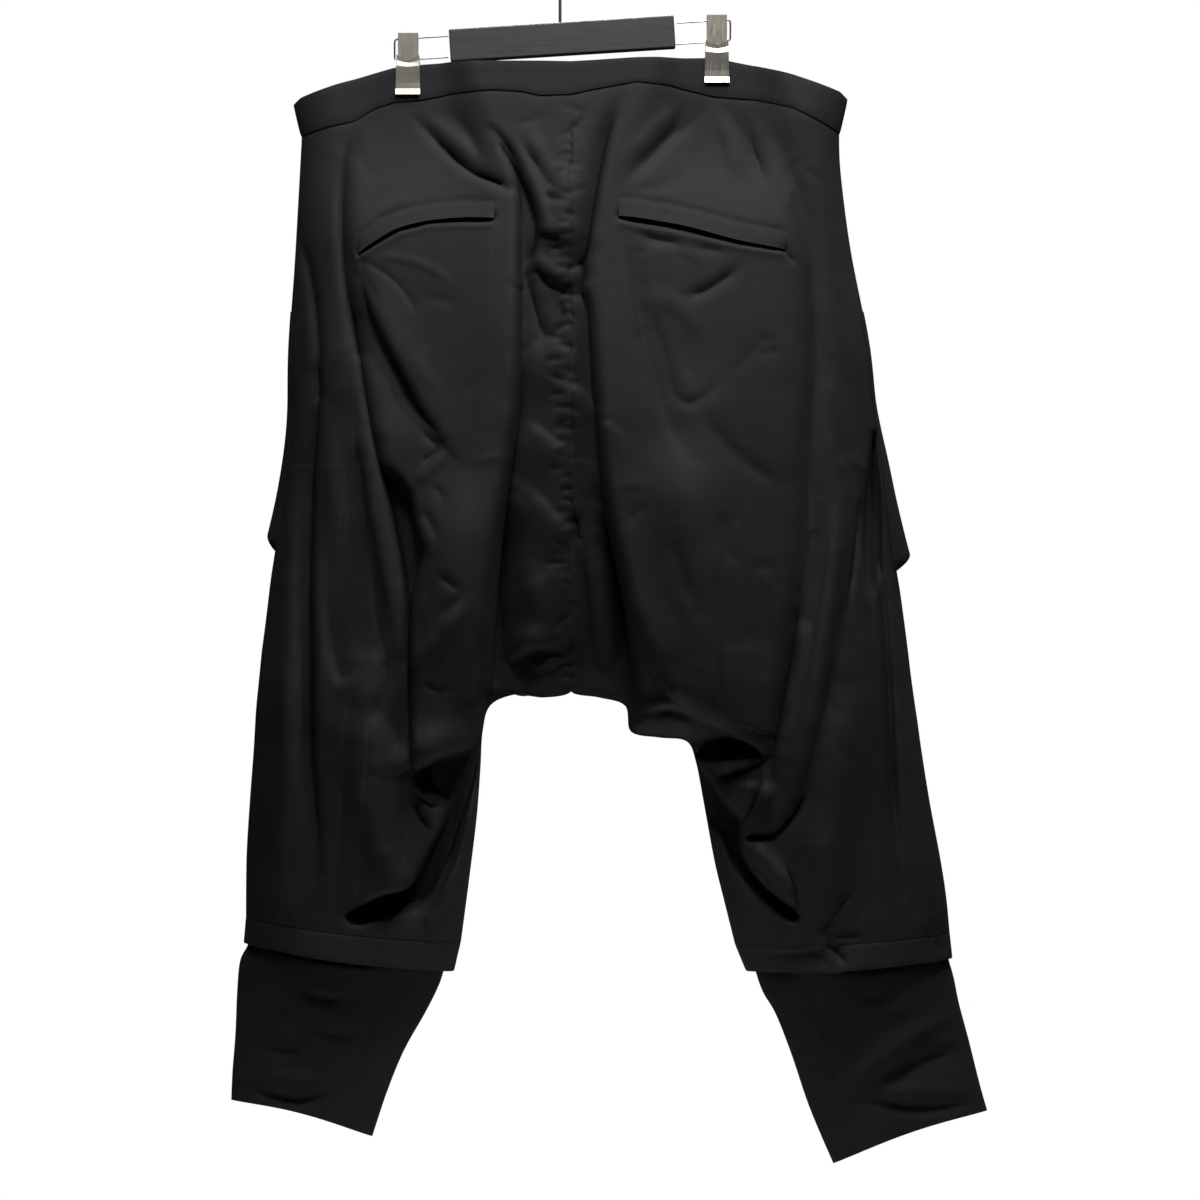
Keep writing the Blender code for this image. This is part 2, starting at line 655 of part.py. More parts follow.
def make_cuffs(surface, collection):
    """The narrower cuffs, each a tube from inside its hem band."""
    steps, rows = 9, 6
    half = columns(steps, True)
    for side, table in (("left", LEFT_CUFF), ("right", RIGHT_CUFF)):
        made = smooth(table, np.linspace(0, len(table) - 1, rows + 1))
        sheets = []
        for face in (1, -1):
            x = made[:, :1] + half * (made[:, 2:3] - made[:, :1])
            drop = made[:, 1:2] + half * (made[:, 3:4] - made[:, 1:2])
            down = np.linspace(0, 1, rows + 1)[:, None]
            drop = drop - CUFF_DIP * down**3 * np.sin(np.pi * half)
            q = 2 * np.minimum(half, 1 - half)
            stand = made[:, 4:5] if face > 0 else made[:, 5:6]
            y = face * stand * (q * (2 - q)) ** EDGE_SHAPE
            sheets.append(np.stack((x, y, -drop - WAIST_BELOW_HOOK), axis=2))
        ring = np.concatenate((sheets[0], sheets[1][:, -2::-1]), axis=1)
        turn = 1 if side == "left" else -1
        (normal,) = shared_normals([ring], [turn])
        wall(f"cuff_{side}", ring, ring - CUFF_WALL * normal, surface, collection, ring=True)


def panel_tree(grid):
    """A search tree of a grid's faces, to lay a piece on it."""
    rows, cols = grid.shape[:2]
    points = [Vector(p) for p in grid.reshape(-1, 3)]
    faces = [
        (r * cols + c, r * cols + c + 1, (r + 1) * cols + c + 1, (r + 1) * cols + c)
        for r in range(rows - 1)
        for c in range(cols - 1)
    ]
    return BVHTree.FromPolygons(points, faces)


def make_welts(grids, surface, collection):
    """A strip over each back pocket's mouth, laid on the panel."""
    steps = 16
    for side, table in (("left", LEFT_WELT), ("right", RIGHT_WELT)):
        tree = panel_tree(grids[side, "back", "panel"])
        edge = smooth(table, np.linspace(0, len(table) - 1, steps + 1))
        under = np.zeros((3, steps + 1, 3))
        for r in range(3):
            for c in range(steps + 1):
                x = edge[c, 0]
                drop = edge[c, 2] + (edge[c, 1] - edge[c, 2]) * r / 2
                z = -drop - WAIST_BELOW_HOOK
                hits = [
                    tree.ray_cast(Vector((x + dx, 300, z + dz)), Vector((0, -1, 0)))[0].y
                    for dx in (-5, 0, 5)
                    for dz in (-4, 0, 4)
                ]
                under[r, c] = (x, max(hits) + WELT_GAP, z)
        over = under + np.array((0, WELT_WALL, 0))
        wall(f"welt_{side}", over, under, surface, collection)


def make_side_pockets(grids, normals, surface, collection):
    """A patch pocket round each side seam, its low rear corner standing proud."""
    front_cols = 6
    for side, proud in (("left", 8.0), ("right", 13.0)):
        back, front = grids[side, "back", "panel"], grids[side, "front", "panel"]
        back_n, front_n = normals[side, "back", "panel"], normals[side, "front", "panel"]
        drops = -back[:, -1, 2] - WAIST_BELOW_HOOK
        low = 415 if side == "left" else 425
        keep = np.flatnonzero((drops > 205) & (drops < low))
        rows = slice(keep[0], keep[-1] + 1)
        grid = np.concatenate((back[rows, -2:], front[rows, -2 : -2 - front_cols : -1]), axis=1)
        normal = np.concatenate((back_n[rows, -2:], front_n[rows, -2 : -2 - front_cols : -1]), axis=1)
        level = drops[rows]
        down = np.clip((level - 285) / (level[-2] - 285), 0, 1) ** 1.5
        down[-1] = 0.12
        across = np.array([0.5, 1.0, 0.8, 0.55, 0.3, 0.12, 0.04, 0.0])[: grid.shape[1]]
        lift = PATCH_GAP + proud * down[:, None] * across[None, :]
        under = grid + lift[:, :, None] * normal
        over = grid + (lift + PATCH_WALL)[:, :, None] * normal
        wall(f"side_pocket_{side}", over, under, surface, collection)


def make_fly(grids, normals, surface, collection):
    """The placket over the front opening, on the left front panel."""
    grid = grids["left", "front", "panel"][1:10, :4]
    normal = normals["left", "front", "panel"][1:10, :4]
    grid = grid.copy()
    grid[:, 0, 0] += SEAM_GAP
    under = grid + PATCH_GAP * normal
    over = grid + (PATCH_GAP + PATCH_WALL) * normal
    wall("fly_placket", over, under, surface, collection)


def make_button(place, normal, surface, collection):
    """A plain dished waist button on the lap."""
    bm = bmesh.new()
    thick = 2.6
    radius = BUTTON_RADIUS * MM
    bmesh.ops.create_cone(
        bm, cap_ends=True, segments=24, radius1=radius, radius2=radius, depth=thick * MM
    )
    top = [f for f in bm.faces if f.normal.z > 0.9]
    bmesh.ops.inset_region(bm, faces=top, thickness=1.6 * MM, depth=-0.6 * MM)
    turn = Vector(normal).to_track_quat("Z", "Y").to_matrix().to_4x4()
    centre = Vector(place + (thick / 2 + 0.8) * normal) * MM
    bmesh.ops.transform(bm, matrix=Matrix.Translation(centre) @ turn, verts=bm.verts[:])
    return add_object("waist_button", bm, surface, collection)


def box(bm, low, high):
    """A box between two corners in mm, added to the mesh."""
    size = Vector(high) - Vector(low)
    made = bmesh.ops.create_cube(bm, size=1)["verts"]
    bmesh.ops.scale(bm, verts=made, vec=size * MM)
    bmesh.ops.translate(bm, verts=made, vec=(Vector(high) + Vector(low)) / 2 * MM)
    return made


def tube(name, points, diameter, surface, collection, sides=2):
    """A round wire along the points, in mm, with closed ends."""
    curve = bpy.data.curves.new(name, "CURVE")
    curve.dimensions = "3D"
    curve.bevel_depth = diameter / 2 * MM
    curve.bevel_resolution = sides
    curve.use_fill_caps = True
    spline = curve.splines.new("POLY")
    spline.points.add(len(points) - 1)
    for point, place in zip(spline.points, points):
        point.co = (*(Vector(place) * MM), 1)
    curve.materials.append(surface)
    made = bpy.data.objects.new(name, curve)
    collection.objects.link(made)
    return made


def bar_height(x):
    """The bar's mid height at x, in mm below the hook's inside top."""
    return -WAIST_BELOW_HOOK - BAR_CENTRE[1] - (x - BAR_CENTRE[0]) * math.tan(BAR_TILT)


def make_bar(surface, collection):
    bm = bmesh.new()
    half = BAR_LENGTH / 2
    box(bm, (-half, -BAR_DEPTH / 2, -BAR_HEIGHT / 2), (half, BAR_DEPTH / 2, BAR_HEIGHT / 2))
    place = Vector((BAR_CENTRE[0], 0, bar_height(BAR_CENTRE[0]))) * MM
    bm.normal_update()
    made = add_object("hanger_bar", bm, surface, collection)
    made.location = place
    made.rotation_euler = (0, BAR_TILT, 0)
    rounding = made.modifiers.new("rounded edges", "BEVEL")
    rounding.width = 1.2 * MM
    rounding.segments = 2
    return made


def make_hook(surface, collection):
    """Stem, neck bend and hook, in the plane of the bar."""
    radius = HOOK_RADIUS + HOOK_WIRE / 2
    stem_x = 9.3
    foot = bar_height(stem_x) + BAR_HEIGHT / 2 / math.cos(BAR_TILT) + 0.4
    turns = [math.radians(a) for a in range(-22, 203, 14)]
    arc = [(radius * math.cos(a), 0, -HOOK_RADIUS + radius * math.sin(a)) for a in turns]
    low_x, _, low_z = arc[0]
    neck = []
    for step in range(1, 7):
        f = step / 7
        bend = f * f * (3 - 2 * f)
        neck.append((stem_x + (low_x - stem_x) * bend, 0, -62 + (low_z + 62) * f))
    return tube("hook", [(stem_x, 0, foot), (stem_x, 0, -62)] + neck + arc, HOOK_WIRE, surface, collection)


def make_wire_loops(surface, collection):
    """A flat loop of wire out of each end of the bar, for a clip to slide on."""
    slope = math.tan(BAR_TILT)
    bend = 2.5
    for clip in CLIPS:
        side = 1 if clip.x > 0 else -1
        root = BAR_CENTRE[0] + side * (BAR_LENGTH / 2 * math.cos(BAR_TILT) + 1.3)
        tip = clip.x + side * (CLIP_WIDTH / 2 - 1.5)
        middle = -clip.wire_drop - WAIST_BELOW_HOOK + WIRE_APART / 2
        lines = []
        for turn in (1, -1):
            z = middle + turn * WIRE_APART / 2
            root_z, tip_z = (z - (x - clip.x) * slope for x in (root, tip))
            line = [(root, 0, root_z), (tip, 0, tip_z)]
            for a in (30, 60, 90):
                out = bend * math.sin(math.radians(a))
                down = bend * (1 - math.cos(math.radians(a)))
                line.append((tip + side * out, 0, tip_z - turn * down))
            lines.append(line)
        name = f"wire_loop_{'left' if side > 0 else 'right'}"
        tube(name, lines[0] + lines[1][::-1], WIRE, surface, collection)


def helper(name, bm, surface, cutters):
    """A hidden mesh that a Boolean of another object uses."""
    made = add_object(name, bm, surface, cutters)
    made.hide_render = True
    made.display_type = "WIRE"
    return made


def combine(target, operation, other):
    step = target.modifiers.new(other.name, "BOOLEAN")
    step.operation = operation
    step.object = other


def jaw(clip, face, surface, cutters):
    """One sprung plate: notched at the top, flat on the cloth, lipped at the foot."""
    downs, outs = zip(*JAW_PROFILE)
    bm = bmesh.new()
    bmesh.ops.create_grid(bm, x_segments=6, y_segments=7, size=1)
    for vert in bm.verts:
        across, down = vert.co.x, (1 - vert.co.y) / 2
        out = np.interp(down, downs, outs) + JAW_HALF_GAP + CLIP_PLATE / 2
        notch = JAW_NOTCH * (1 - abs(across)) ** 0.8 * max(0, 1 - 3 * down)
        drop = clip.jaw_top + down * (clip.jaw_bottom - clip.jaw_top) + notch
        x = clip.x + across * (CLIP_WIDTH / 2 - 0.9 * (1 - down))
        vert.co = Vector((x, face * out, -drop - WAIST_BELOW_HOOK)) * MM
    if face > 0:
        bmesh.ops.reverse_faces(bm, faces=bm.faces[:])
    plate = helper(f"{clip.name}_jaw_{'back' if face > 0 else 'front'}", bm, surface, cutters)
    shell = plate.modifiers.new("plate", "SOLIDIFY")
    shell.thickness = CLIP_PLATE * MM
    shell.offset = 0
    return plate


def make_clips(surface, collection, cutters):
    """A sleeve that slides on the two wires, and a jaw on each side of the waistband."""
    for clip in CLIPS:
        low = -clip.wire_drop - WAIST_BELOW_HOOK
        half = SLEEVE_LENGTH / 2
        bm = bmesh.new()
        box(bm, (clip.x - half, -SLEEVE_HALF, low - 4), (clip.x + half, SLEEVE_HALF, low + WIRE_APART + 4))
        sleeve = add_object(clip.name, bm, surface, collection)
        bm = bmesh.new()
        bore = SLEEVE_HALF - CLIP_PLATE
        box(bm, (clip.x - 20, -bore, low - 2.5), (clip.x + 20, bore, low + WIRE_APART + 2.5))
        combine(sleeve, "DIFFERENCE", helper(f"{clip.name}_bore", bm, surface, cutters))
        for face in (1, -1):
            combine(sleeve, "UNION", jaw(clip, face, surface, cutters))


def main():
    for old in list(bpy.data.objects):
        bpy.data.objects.remove(old)
    collection = bpy.data.collections.new("harem_trousers")
    cutters = bpy.data.collections.new("cutters")
    bpy.context.scene.collection.children.link(collection)
    bpy.context.scene.collection.children.link(cutters)
    cutters.hide_render = True
    cloth_black = material("black twill", (0.012, 0.012, 0.014), 0.72)
    jersey_black = material("black cuff cloth", (0.009, 0.009, 0.010), 0.85)
    button_black = material("black button", (0.01, 0.01, 0.01), 0.35)
    bar_grey = material("dark grey lacquer", (0.035, 0.036, 0.034), 0.5)
    steel = material("steel wire", (0.32, 0.32, 0.32), 0.35, 1.0)
    nickel = material("brushed nickel", (0.62, 0.59, 0.52), 0.38, 1.0)
    grids, normals = garment_grids()
    make_panels(grids, normals, cloth_black, collection)
    lap, lap_normal = make_waistband(grids, normals, cloth_black, collection)
    make_hems(grids, normals, cloth_black, collection)
    make_cuffs(jersey_black, collection)
    make_welts(grids, cloth_black, collection)
    make_side_pockets(grids, normals, cloth_black, collection)
    make_fly(grids, normals, cloth_black, collection)
    make_button(lap, lap_normal, button_black, collection)
    make_bar(bar_grey, collection)
    make_hook(steel, collection)
    make_wire_loops(steel, collection)
    make_clips(nickel, collection, cutters)


main()
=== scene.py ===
"""Harem trousers on a clip hanger, with the finish of every piece.

Lengths in the tables are millimetres. A place on the cloth is its distance x
from the centre seams, positive to the wearer's left, and its drop below the
top of the waistband. The back of the trousers faces +Y and +Z is up.
"""

import json
import math
import random
from collections import namedtuple

import bmesh
import bpy
import numpy as np
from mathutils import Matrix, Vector

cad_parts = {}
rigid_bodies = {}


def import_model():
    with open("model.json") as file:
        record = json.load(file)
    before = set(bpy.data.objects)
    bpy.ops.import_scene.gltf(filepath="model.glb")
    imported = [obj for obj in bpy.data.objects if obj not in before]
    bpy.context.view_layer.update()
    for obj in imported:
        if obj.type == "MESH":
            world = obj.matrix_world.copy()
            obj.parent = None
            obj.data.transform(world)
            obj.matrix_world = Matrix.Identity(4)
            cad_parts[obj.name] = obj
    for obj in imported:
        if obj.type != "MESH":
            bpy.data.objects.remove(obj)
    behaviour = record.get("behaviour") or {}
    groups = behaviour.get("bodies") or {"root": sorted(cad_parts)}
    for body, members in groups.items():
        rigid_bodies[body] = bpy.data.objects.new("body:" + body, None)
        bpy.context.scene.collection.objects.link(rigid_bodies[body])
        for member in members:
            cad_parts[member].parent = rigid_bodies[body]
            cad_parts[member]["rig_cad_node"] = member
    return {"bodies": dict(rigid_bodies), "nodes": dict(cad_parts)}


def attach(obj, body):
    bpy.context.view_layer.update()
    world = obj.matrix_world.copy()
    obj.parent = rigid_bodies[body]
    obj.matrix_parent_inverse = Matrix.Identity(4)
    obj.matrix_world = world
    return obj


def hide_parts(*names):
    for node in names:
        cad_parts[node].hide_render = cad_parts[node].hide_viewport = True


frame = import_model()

bl_info = {
    "name": "Harem Trousers on a Clip Hanger",
    "version": (1, 0, 0),
    "blender": (4, 5, 0),
    "location": "3D View > Sidebar > Trousers",
    "description": "Builds drop-crotch trousers that hang from a sliding clip hanger",
    "category": "Object",
}

# The frame's own objects stay, and what a new scene starts with goes
KEPT = {*frame["nodes"].values(), *frame["bodies"].values()}
for startup in [o for o in bpy.data.objects if o not in KEPT]:
    bpy.data.objects.remove(startup)
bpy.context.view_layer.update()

MM = 0.001
WAIST_BELOW_HOOK = 119.0
WAIST_STANDOFF = 2.3  # from the middle plane to the cloth under a clip
WAIST_HALF = 236
CLIP_XS = (138.5, -124.0)
CLIP_HALF = 25.0
CLIP_SIDE, CLIP_SPREAD = 30, 0.4  # width of the fade beside a clip, and more for each mm down
CLIP_GRIP = 28  # drop down to which a clip holds the cloth flat
CLIP_FADE = 130
EDGE_SHAPE = 0.72  # below 1 the cloth turns over more squarely at its edges
FRONT_FOLD_SHARE = 0.8
FOLD_FADE = 40  # below the waist seam, over which the folds reach their full depth
FOLDS_AT_SEAM = 0.15  # share of their depth that folds have at the waist seam
ROLL_FALL, CREASE_FALL = 1.4, 2  # how fast a soft roll and a sharp crease fall off
CREASE_TIP, TIP_ROOT = 0.1, 0.316  # how blunt a sharp crease is, and about its square root
FOLD_REACH = 3.2  # half-widths from its path at which a fold has died out
FOLD_END = 0.3  # share of a path over which a fold fades to its end
LEAN = 2.4  # how far a fold leans over at a slope of 1, up to the most
MOST_LEAN = 4.4
LEAN_BOTTOM = 732
CROTCH_ROW = 9
CROTCH_DROP = 540
SEAM_TOP = 45  # where the centre seam's puckers start; they end above the crotch
SEAM_DENT, SEAM_DENT_WIDTH = 0.5, 2.6
SWAY_WIDTH = 14
SWAYS = ((0.9, 13, 0), (0.45, 5.3, 1))  # height, length and start of the seam's waves
MOUTH_DEPTH = 7
MOUTH_LIP = 1.2
WELT_DENT = 1.1
CREASES = 150
CUFF_DIP = 6.0
LAP_STEPS = 5  # mesh steps of the right front that the waistband's lap covers
LAP_LIFT = 2.9
SIDE_POCKET_TOP = 212
BAND_WALL, HEM_WALL, CUFF_WALL, WELT_WALL, PATCH_WALL = 2.2, 1.8, 1.3, 1.4, 1.2

# Mesh steps: across a panel, waist to crotch and crotch to hem
STEPS = {"back": (138, 228, 104), "front": (70, 160, 74)}
BAND_ROWS = 14
HEM_ROWS = 12

# Edges of each half of the back, from the waistband down
Row = namedtuple("Row", "inner_x inner_drop outer_x outer_drop")
LEFT_ROWS = (
    Row(0, 29, 229, 63),
    Row(0, 80, 231, 100),
    Row(0, 160, 235, 170),
    Row(0, 245, 240, 245),
    Row(0, 313, 241, 313),
    Row(0, 372, 245, 365),
    Row(0, 430, 251, 410),
    Row(0, 480, 255.5, 440),
    Row(0, 515, 258.5, 465),
    Row(0, 535, 261, 485),
    Row(24, 540, 263, 500),
    Row(45, 537, 264.5, 515),
    Row(68, 546, 266, 530),
    Row(75, 568, 268, 551),
    Row(77, 600, 270, 585),
    Row(80, 640, 273, 625),
    Row(86, 690, 276, 675),
    Row(93.5, 747, 276.5, 726),
)
RIGHT_ROWS = (
    Row(0, 29, -228, 61),
    Row(0, 80, -229.5, 95),
    Row(0, 160, -238, 160),
    Row(0, 245, -253, 237),
    Row(0, 313, -259, 290),
    Row(0, 372, -266, 338),
    Row(0, 430, -270, 375),
    Row(0, 480, -274, 410),
    Row(0, 515, -277, 432),
    Row(0, 535, -280, 450),
    Row(-24, 540, -283, 472),
    Row(-46, 547, -286, 495),
    Row(-51, 569, -289, 520),
    Row(-75, 574, -292, 542),
    Row(-98, 577, -295, 562),
    Row(-106, 594, -298, 584),
    Row(-113, 630, -305, 628),
    Row(-122, 679, -314, 676),
    Row(-130, 712, -319, 708),
    Row(-139.5, 750, -322, 739),
)

# The waistband's upper edge and its seam
Waist = namedtuple("Waist", "x top seam")
WAIST_LINE = (
    Waist(-234, 31, 62),
    Waist(-228, 26, 60),
    Waist(-187, 12, 40),
    Waist(-158, 4, 32),
    Waist(-121, -3.5, 29),
    Waist(-84, -3, 20),
    Waist(-55, -2.5, 18),
    Waist(-18, 0, 25),
    Waist(0, 1, 29),
    Waist(26, 0.5, 30),
    Waist(42, 0.5, 26.5),
    Waist(65, 0.5, 25),
    Waist(102, 0.5, 27),
    Waist(127, 2.3, 32),
    Waist(151, 5, 34),
    Waist(168, 10, 40),
    Waist(184, 16, 51),
    Waist(229, 31, 63),
    Waist(236, 36, 66),
)

LEFT_HEM = Row(100, 772, 278, 748)
RIGHT_HEM = Row(-149.5, 772, -324, 761)

# How far the cloth stands off the middle plane, and how wide its edges round off
Depth = namedtuple("Depth", "drop back front outer_round inner_round")
DEPTHS = (
    Depth(-5, 10, 8, 34, 60),
    Depth(30, 12, 10, 38, 60),
    Depth(100, 24, 19, 56, 60),
    Depth(200, 38, 30, 78, 66),
    Depth(300, 48, 37, 90, 74),
    Depth(400, 54, 41, 95, 80),
    Depth(500, 56, 42, 96, 84),
    Depth(560, 54, 41, 96, 88),
    Depth(650, 46, 36, 94, 92),
    Depth(740, 38, 31, 88, 90),
    Depth(800, 34, 28, 84, 86),
)

# push is how far a crest stands out or a trough goes in. Going down a path,
# right is the half-width towards the wearer's right and left the other one.
# crisp runs from a soft roll at 0 to a sharp crease at 1, and start and end
# are the share of the push that is left at the path's ends. Paths are x,drop pairs.
Fold = namedtuple("Fold", "push right left crisp start end path")
# The hollow down the middle of the seat, its two drapes and the folds that cross it
VALLEY = (
    Fold(6, 6, 40, 0, 0.1, 0.9, "52,96 50,181 51,236 54,290 62,345 68,400 74,450 77,502 78,545"),
    Fold(5, 40, 50, 0, 0.1, 0.4, "-110,240 -118,330 -122,420 -128,500"),
    Fold(15, 36, 36, 0, 0.1, 0.9, "-84,310 -96,380 -108,450 -116,510 -120,545"),
    Fold(13, 28, 28, 0, 0.1, 0.9, "88,340 92,400 98,470 103,530 106,566"),
    Fold(8, 24, 24, 0, 0.1, 0.8, "176,480 170,560 160,640 150,686"),
    Fold(8, 24, 24, 0, 0.1, 0.8, "-226,520 -222,600 -214,660 -206,712"),
    Fold(6, 16, 24, 0, 0.1, 0.9, "244,480 246,560 246,640 244,712"),
    Fold(6, 24, 16, 0, 0.1, 0.9, "-290,520 -298,600 -302,670 -304,724"),
    Fold(5, 40, 6, 0, 0.1, 0.7,
         "-26,150 -27,240 -31,300 -35,350 -41,392 -50,430 -61,470 -72,500 -90,532 -114,548 "
         "-140,558"),
    Fold(-13, 7, 3, 0, 0.1, 0.6, "44,250 46,300 53,345 58,385 60,420 64,460 67,510 62,550"),
    Fold(-19, 4, 13, 0, 0.2, 0.8, "-27,372 -33,398 -41,430 -48,465 -51,500 -50,542"),
    Fold(4, 7, 7, 0, 0.1, 0.4, "-16,400 -24,440 -30,490 -32,535"),
    Fold(-5, 5, 5, 0.1, 0.2, 0.2, "-8,400 -13,430 -16,480 -18,520"),
    Fold(-9, 4, 4, 0.2, 0.3, 0.2, "-2,385 -6,398 -8,410"),
    Fold(4, 4, 5, 0, 0.3, 0.3, "-56,500 -61,512 -67,528"),
    Fold(7, 17, 15, 0, 0.2, 0.2, "4,84 6,118 8,142 8,170"),
    Fold(-3.5, 2.5, 4, 0.1, 0.3, 0.2, "17,159 11,162 5,161"),
    Fold(-4, 3, 4, 0.1, 0.3, 0.3, "31,171 24,183 18,191 6,195 -4,193"),
    Fold(2.5, 6, 4, 0, 0.3, 0.3, "26,170 19,179 10,185 0,184"),
    Fold(-2.5, 3, 3, 0.1, 0.3, 0.2, "20,150 13,154 9,151"),
    Fold(-4, 5, 5, 0, 0.3, 0.6, "-6,168 -10,176 -14,186"),
    Fold(-3, 3, 3, 0.1, 0.3, 0.3, "4,180 -3,178 -7,172"),
    Fold(-3.5, 2.5, 5, 0.1, 0.4, 0.3, "35,186 32,200 27,220 21,240"),
    Fold(1.5, 7, 3, 0, 0.3, 0.3, "29,188 24,202 18,220 15,238"),
    Fold(-3, 4, 4, 0.1, 0.2, 0.2, "9,206 7,222 12,236"),
    Fold(11, 18, 2.6, 0, 0.6, 0.3, "59,521 53,508.5 42,498 30,493 17,491"),
    Fold(-9, 3, 8, 0, 0.6, 0.3, "61,530 53,515 43,505 31,500 20,498"),
    Fold(5, 3, 9, 0, 0.3, 0.3, "38,518 26,512 14,508 2,508"),
    Fold(-14, 4, 7, 0.1, 0.6, 0.3, "52,530 40,522 24,523 10,531"),
    Fold(3, 14, 12, 0, 0.3, 0.3, "36,420 32,445 28,465 22,480"),
    Fold(-20, 22, 4, 0, 0.1, 0.7, "61,370 66,425 69,460 67,495 60,526"),
    Fold(4, 20, 26, 0, 0.3, 0.3, "42,244 36,253 24,259 12,252 4,240"),
    Fold(4.5, 4, 28, 0.1, 0.3, 0.6, "6,276 -3,281 -10,287 -17,296 -24,303"),
    Fold(4, 5, 28, 0.1, 0.3, 0.3, "38,310 26,320 14,329 2,334"),
    Fold(4, 5, 26, 0.1, 0.3, 0.3, "36,366 25,378 17,390 4,397 -10,398"),
    Fold(2.5, 7, 22, 0, 0.3, 0.3, "44,452 30,447 14,438 -8,430"),
    Fold(-3, 5, 5, 0.2, 0.2, 0.3, "16,484 8,474 2,466"),
)
# Lines from the clips and the waist down towards the seat
DRAG_LINES = (
    Fold(-5, 7, 4, 0.2, 0.3, 0.5, "133,48 120,62 105,78 90,92 76,102 62,106 54,113"),
    Fold(2.5, 8, 6, 0, 0.3, 0.3, "124,44 108,60 92,76 78,90"),
    Fold(-2, 8, 8, 0, 0.2, 0.2, "108,38 96,48 85,62 79,80 75,93"),
    Fold(-8, 2.6, 8, 0.1, 0.2, 0.8,
         "66,58 58,66 51,74 44,86 39,97 33,112 28,126 24,142 24,156 29,168"),
    Fold(4, 7, 3, 0, 0.2, 0.8, "54,68 44,88 34,104 26,122 20,146"),
    Fold(-4, 4, 5, 0.2, 0.5, 0.2, "74,99 66,104 60,106 54,108"),
    Fold(-11, 3, 13, 0.05, 0.3, 0.8,
         "-44,30 -38,48 -33,66 -29,85 -25,105 -21,130 -17,155 -14,178 -13,192"),
    Fold(3, 7, 7, 0, 0.2, 0.2, "34,60 26,84 14,110"),
    Fold(-2.5, 6, 6, 0.1, 0.2, 0.2, "38,78 26,92 17,104 10,116"),
    Fold(-2.5, 3, 3, 0.4, 0.3, 0.3, "10,36 -6,44 -14,42"),
    Fold(-2.5, 3, 3, 0.4, 0.3, 0.3, "-14,44 -6,56 2,62"),
    Fold(-1.5, 5, 5, 0.2, 0.3, 0.3, "20,44 30,52 44,56"),
    Fold(-4, 9, 9, 0, 0.4, 0.2, "-112,34 -98,48 -84,62 -68,80 -52,98 -46,107"),
    Fold(2, 8, 8, 0, 0.3, 0.2, "-92,34 -78,52 -62,70 -50,84"),
    Fold(-4.5, 7, 7, 0, 0.4, 0.1, "-134,36 -142,45 -150,63 -157,82 -162,98 -166,113"),
    Fold(2, 7, 7, 0, 0.3, 0.1, "-120,38 -130,54 -138,78 -142,104"),
    Fold(-8, 12, 14, 0, 0.2, 0.8,
         "-168,42 -176,62 -182,85 -190,110 -199,140 -204,180 -206,220 -206,260 -203,300 "
         "-200,350 -200,400 -196,440 -192,472"),
)
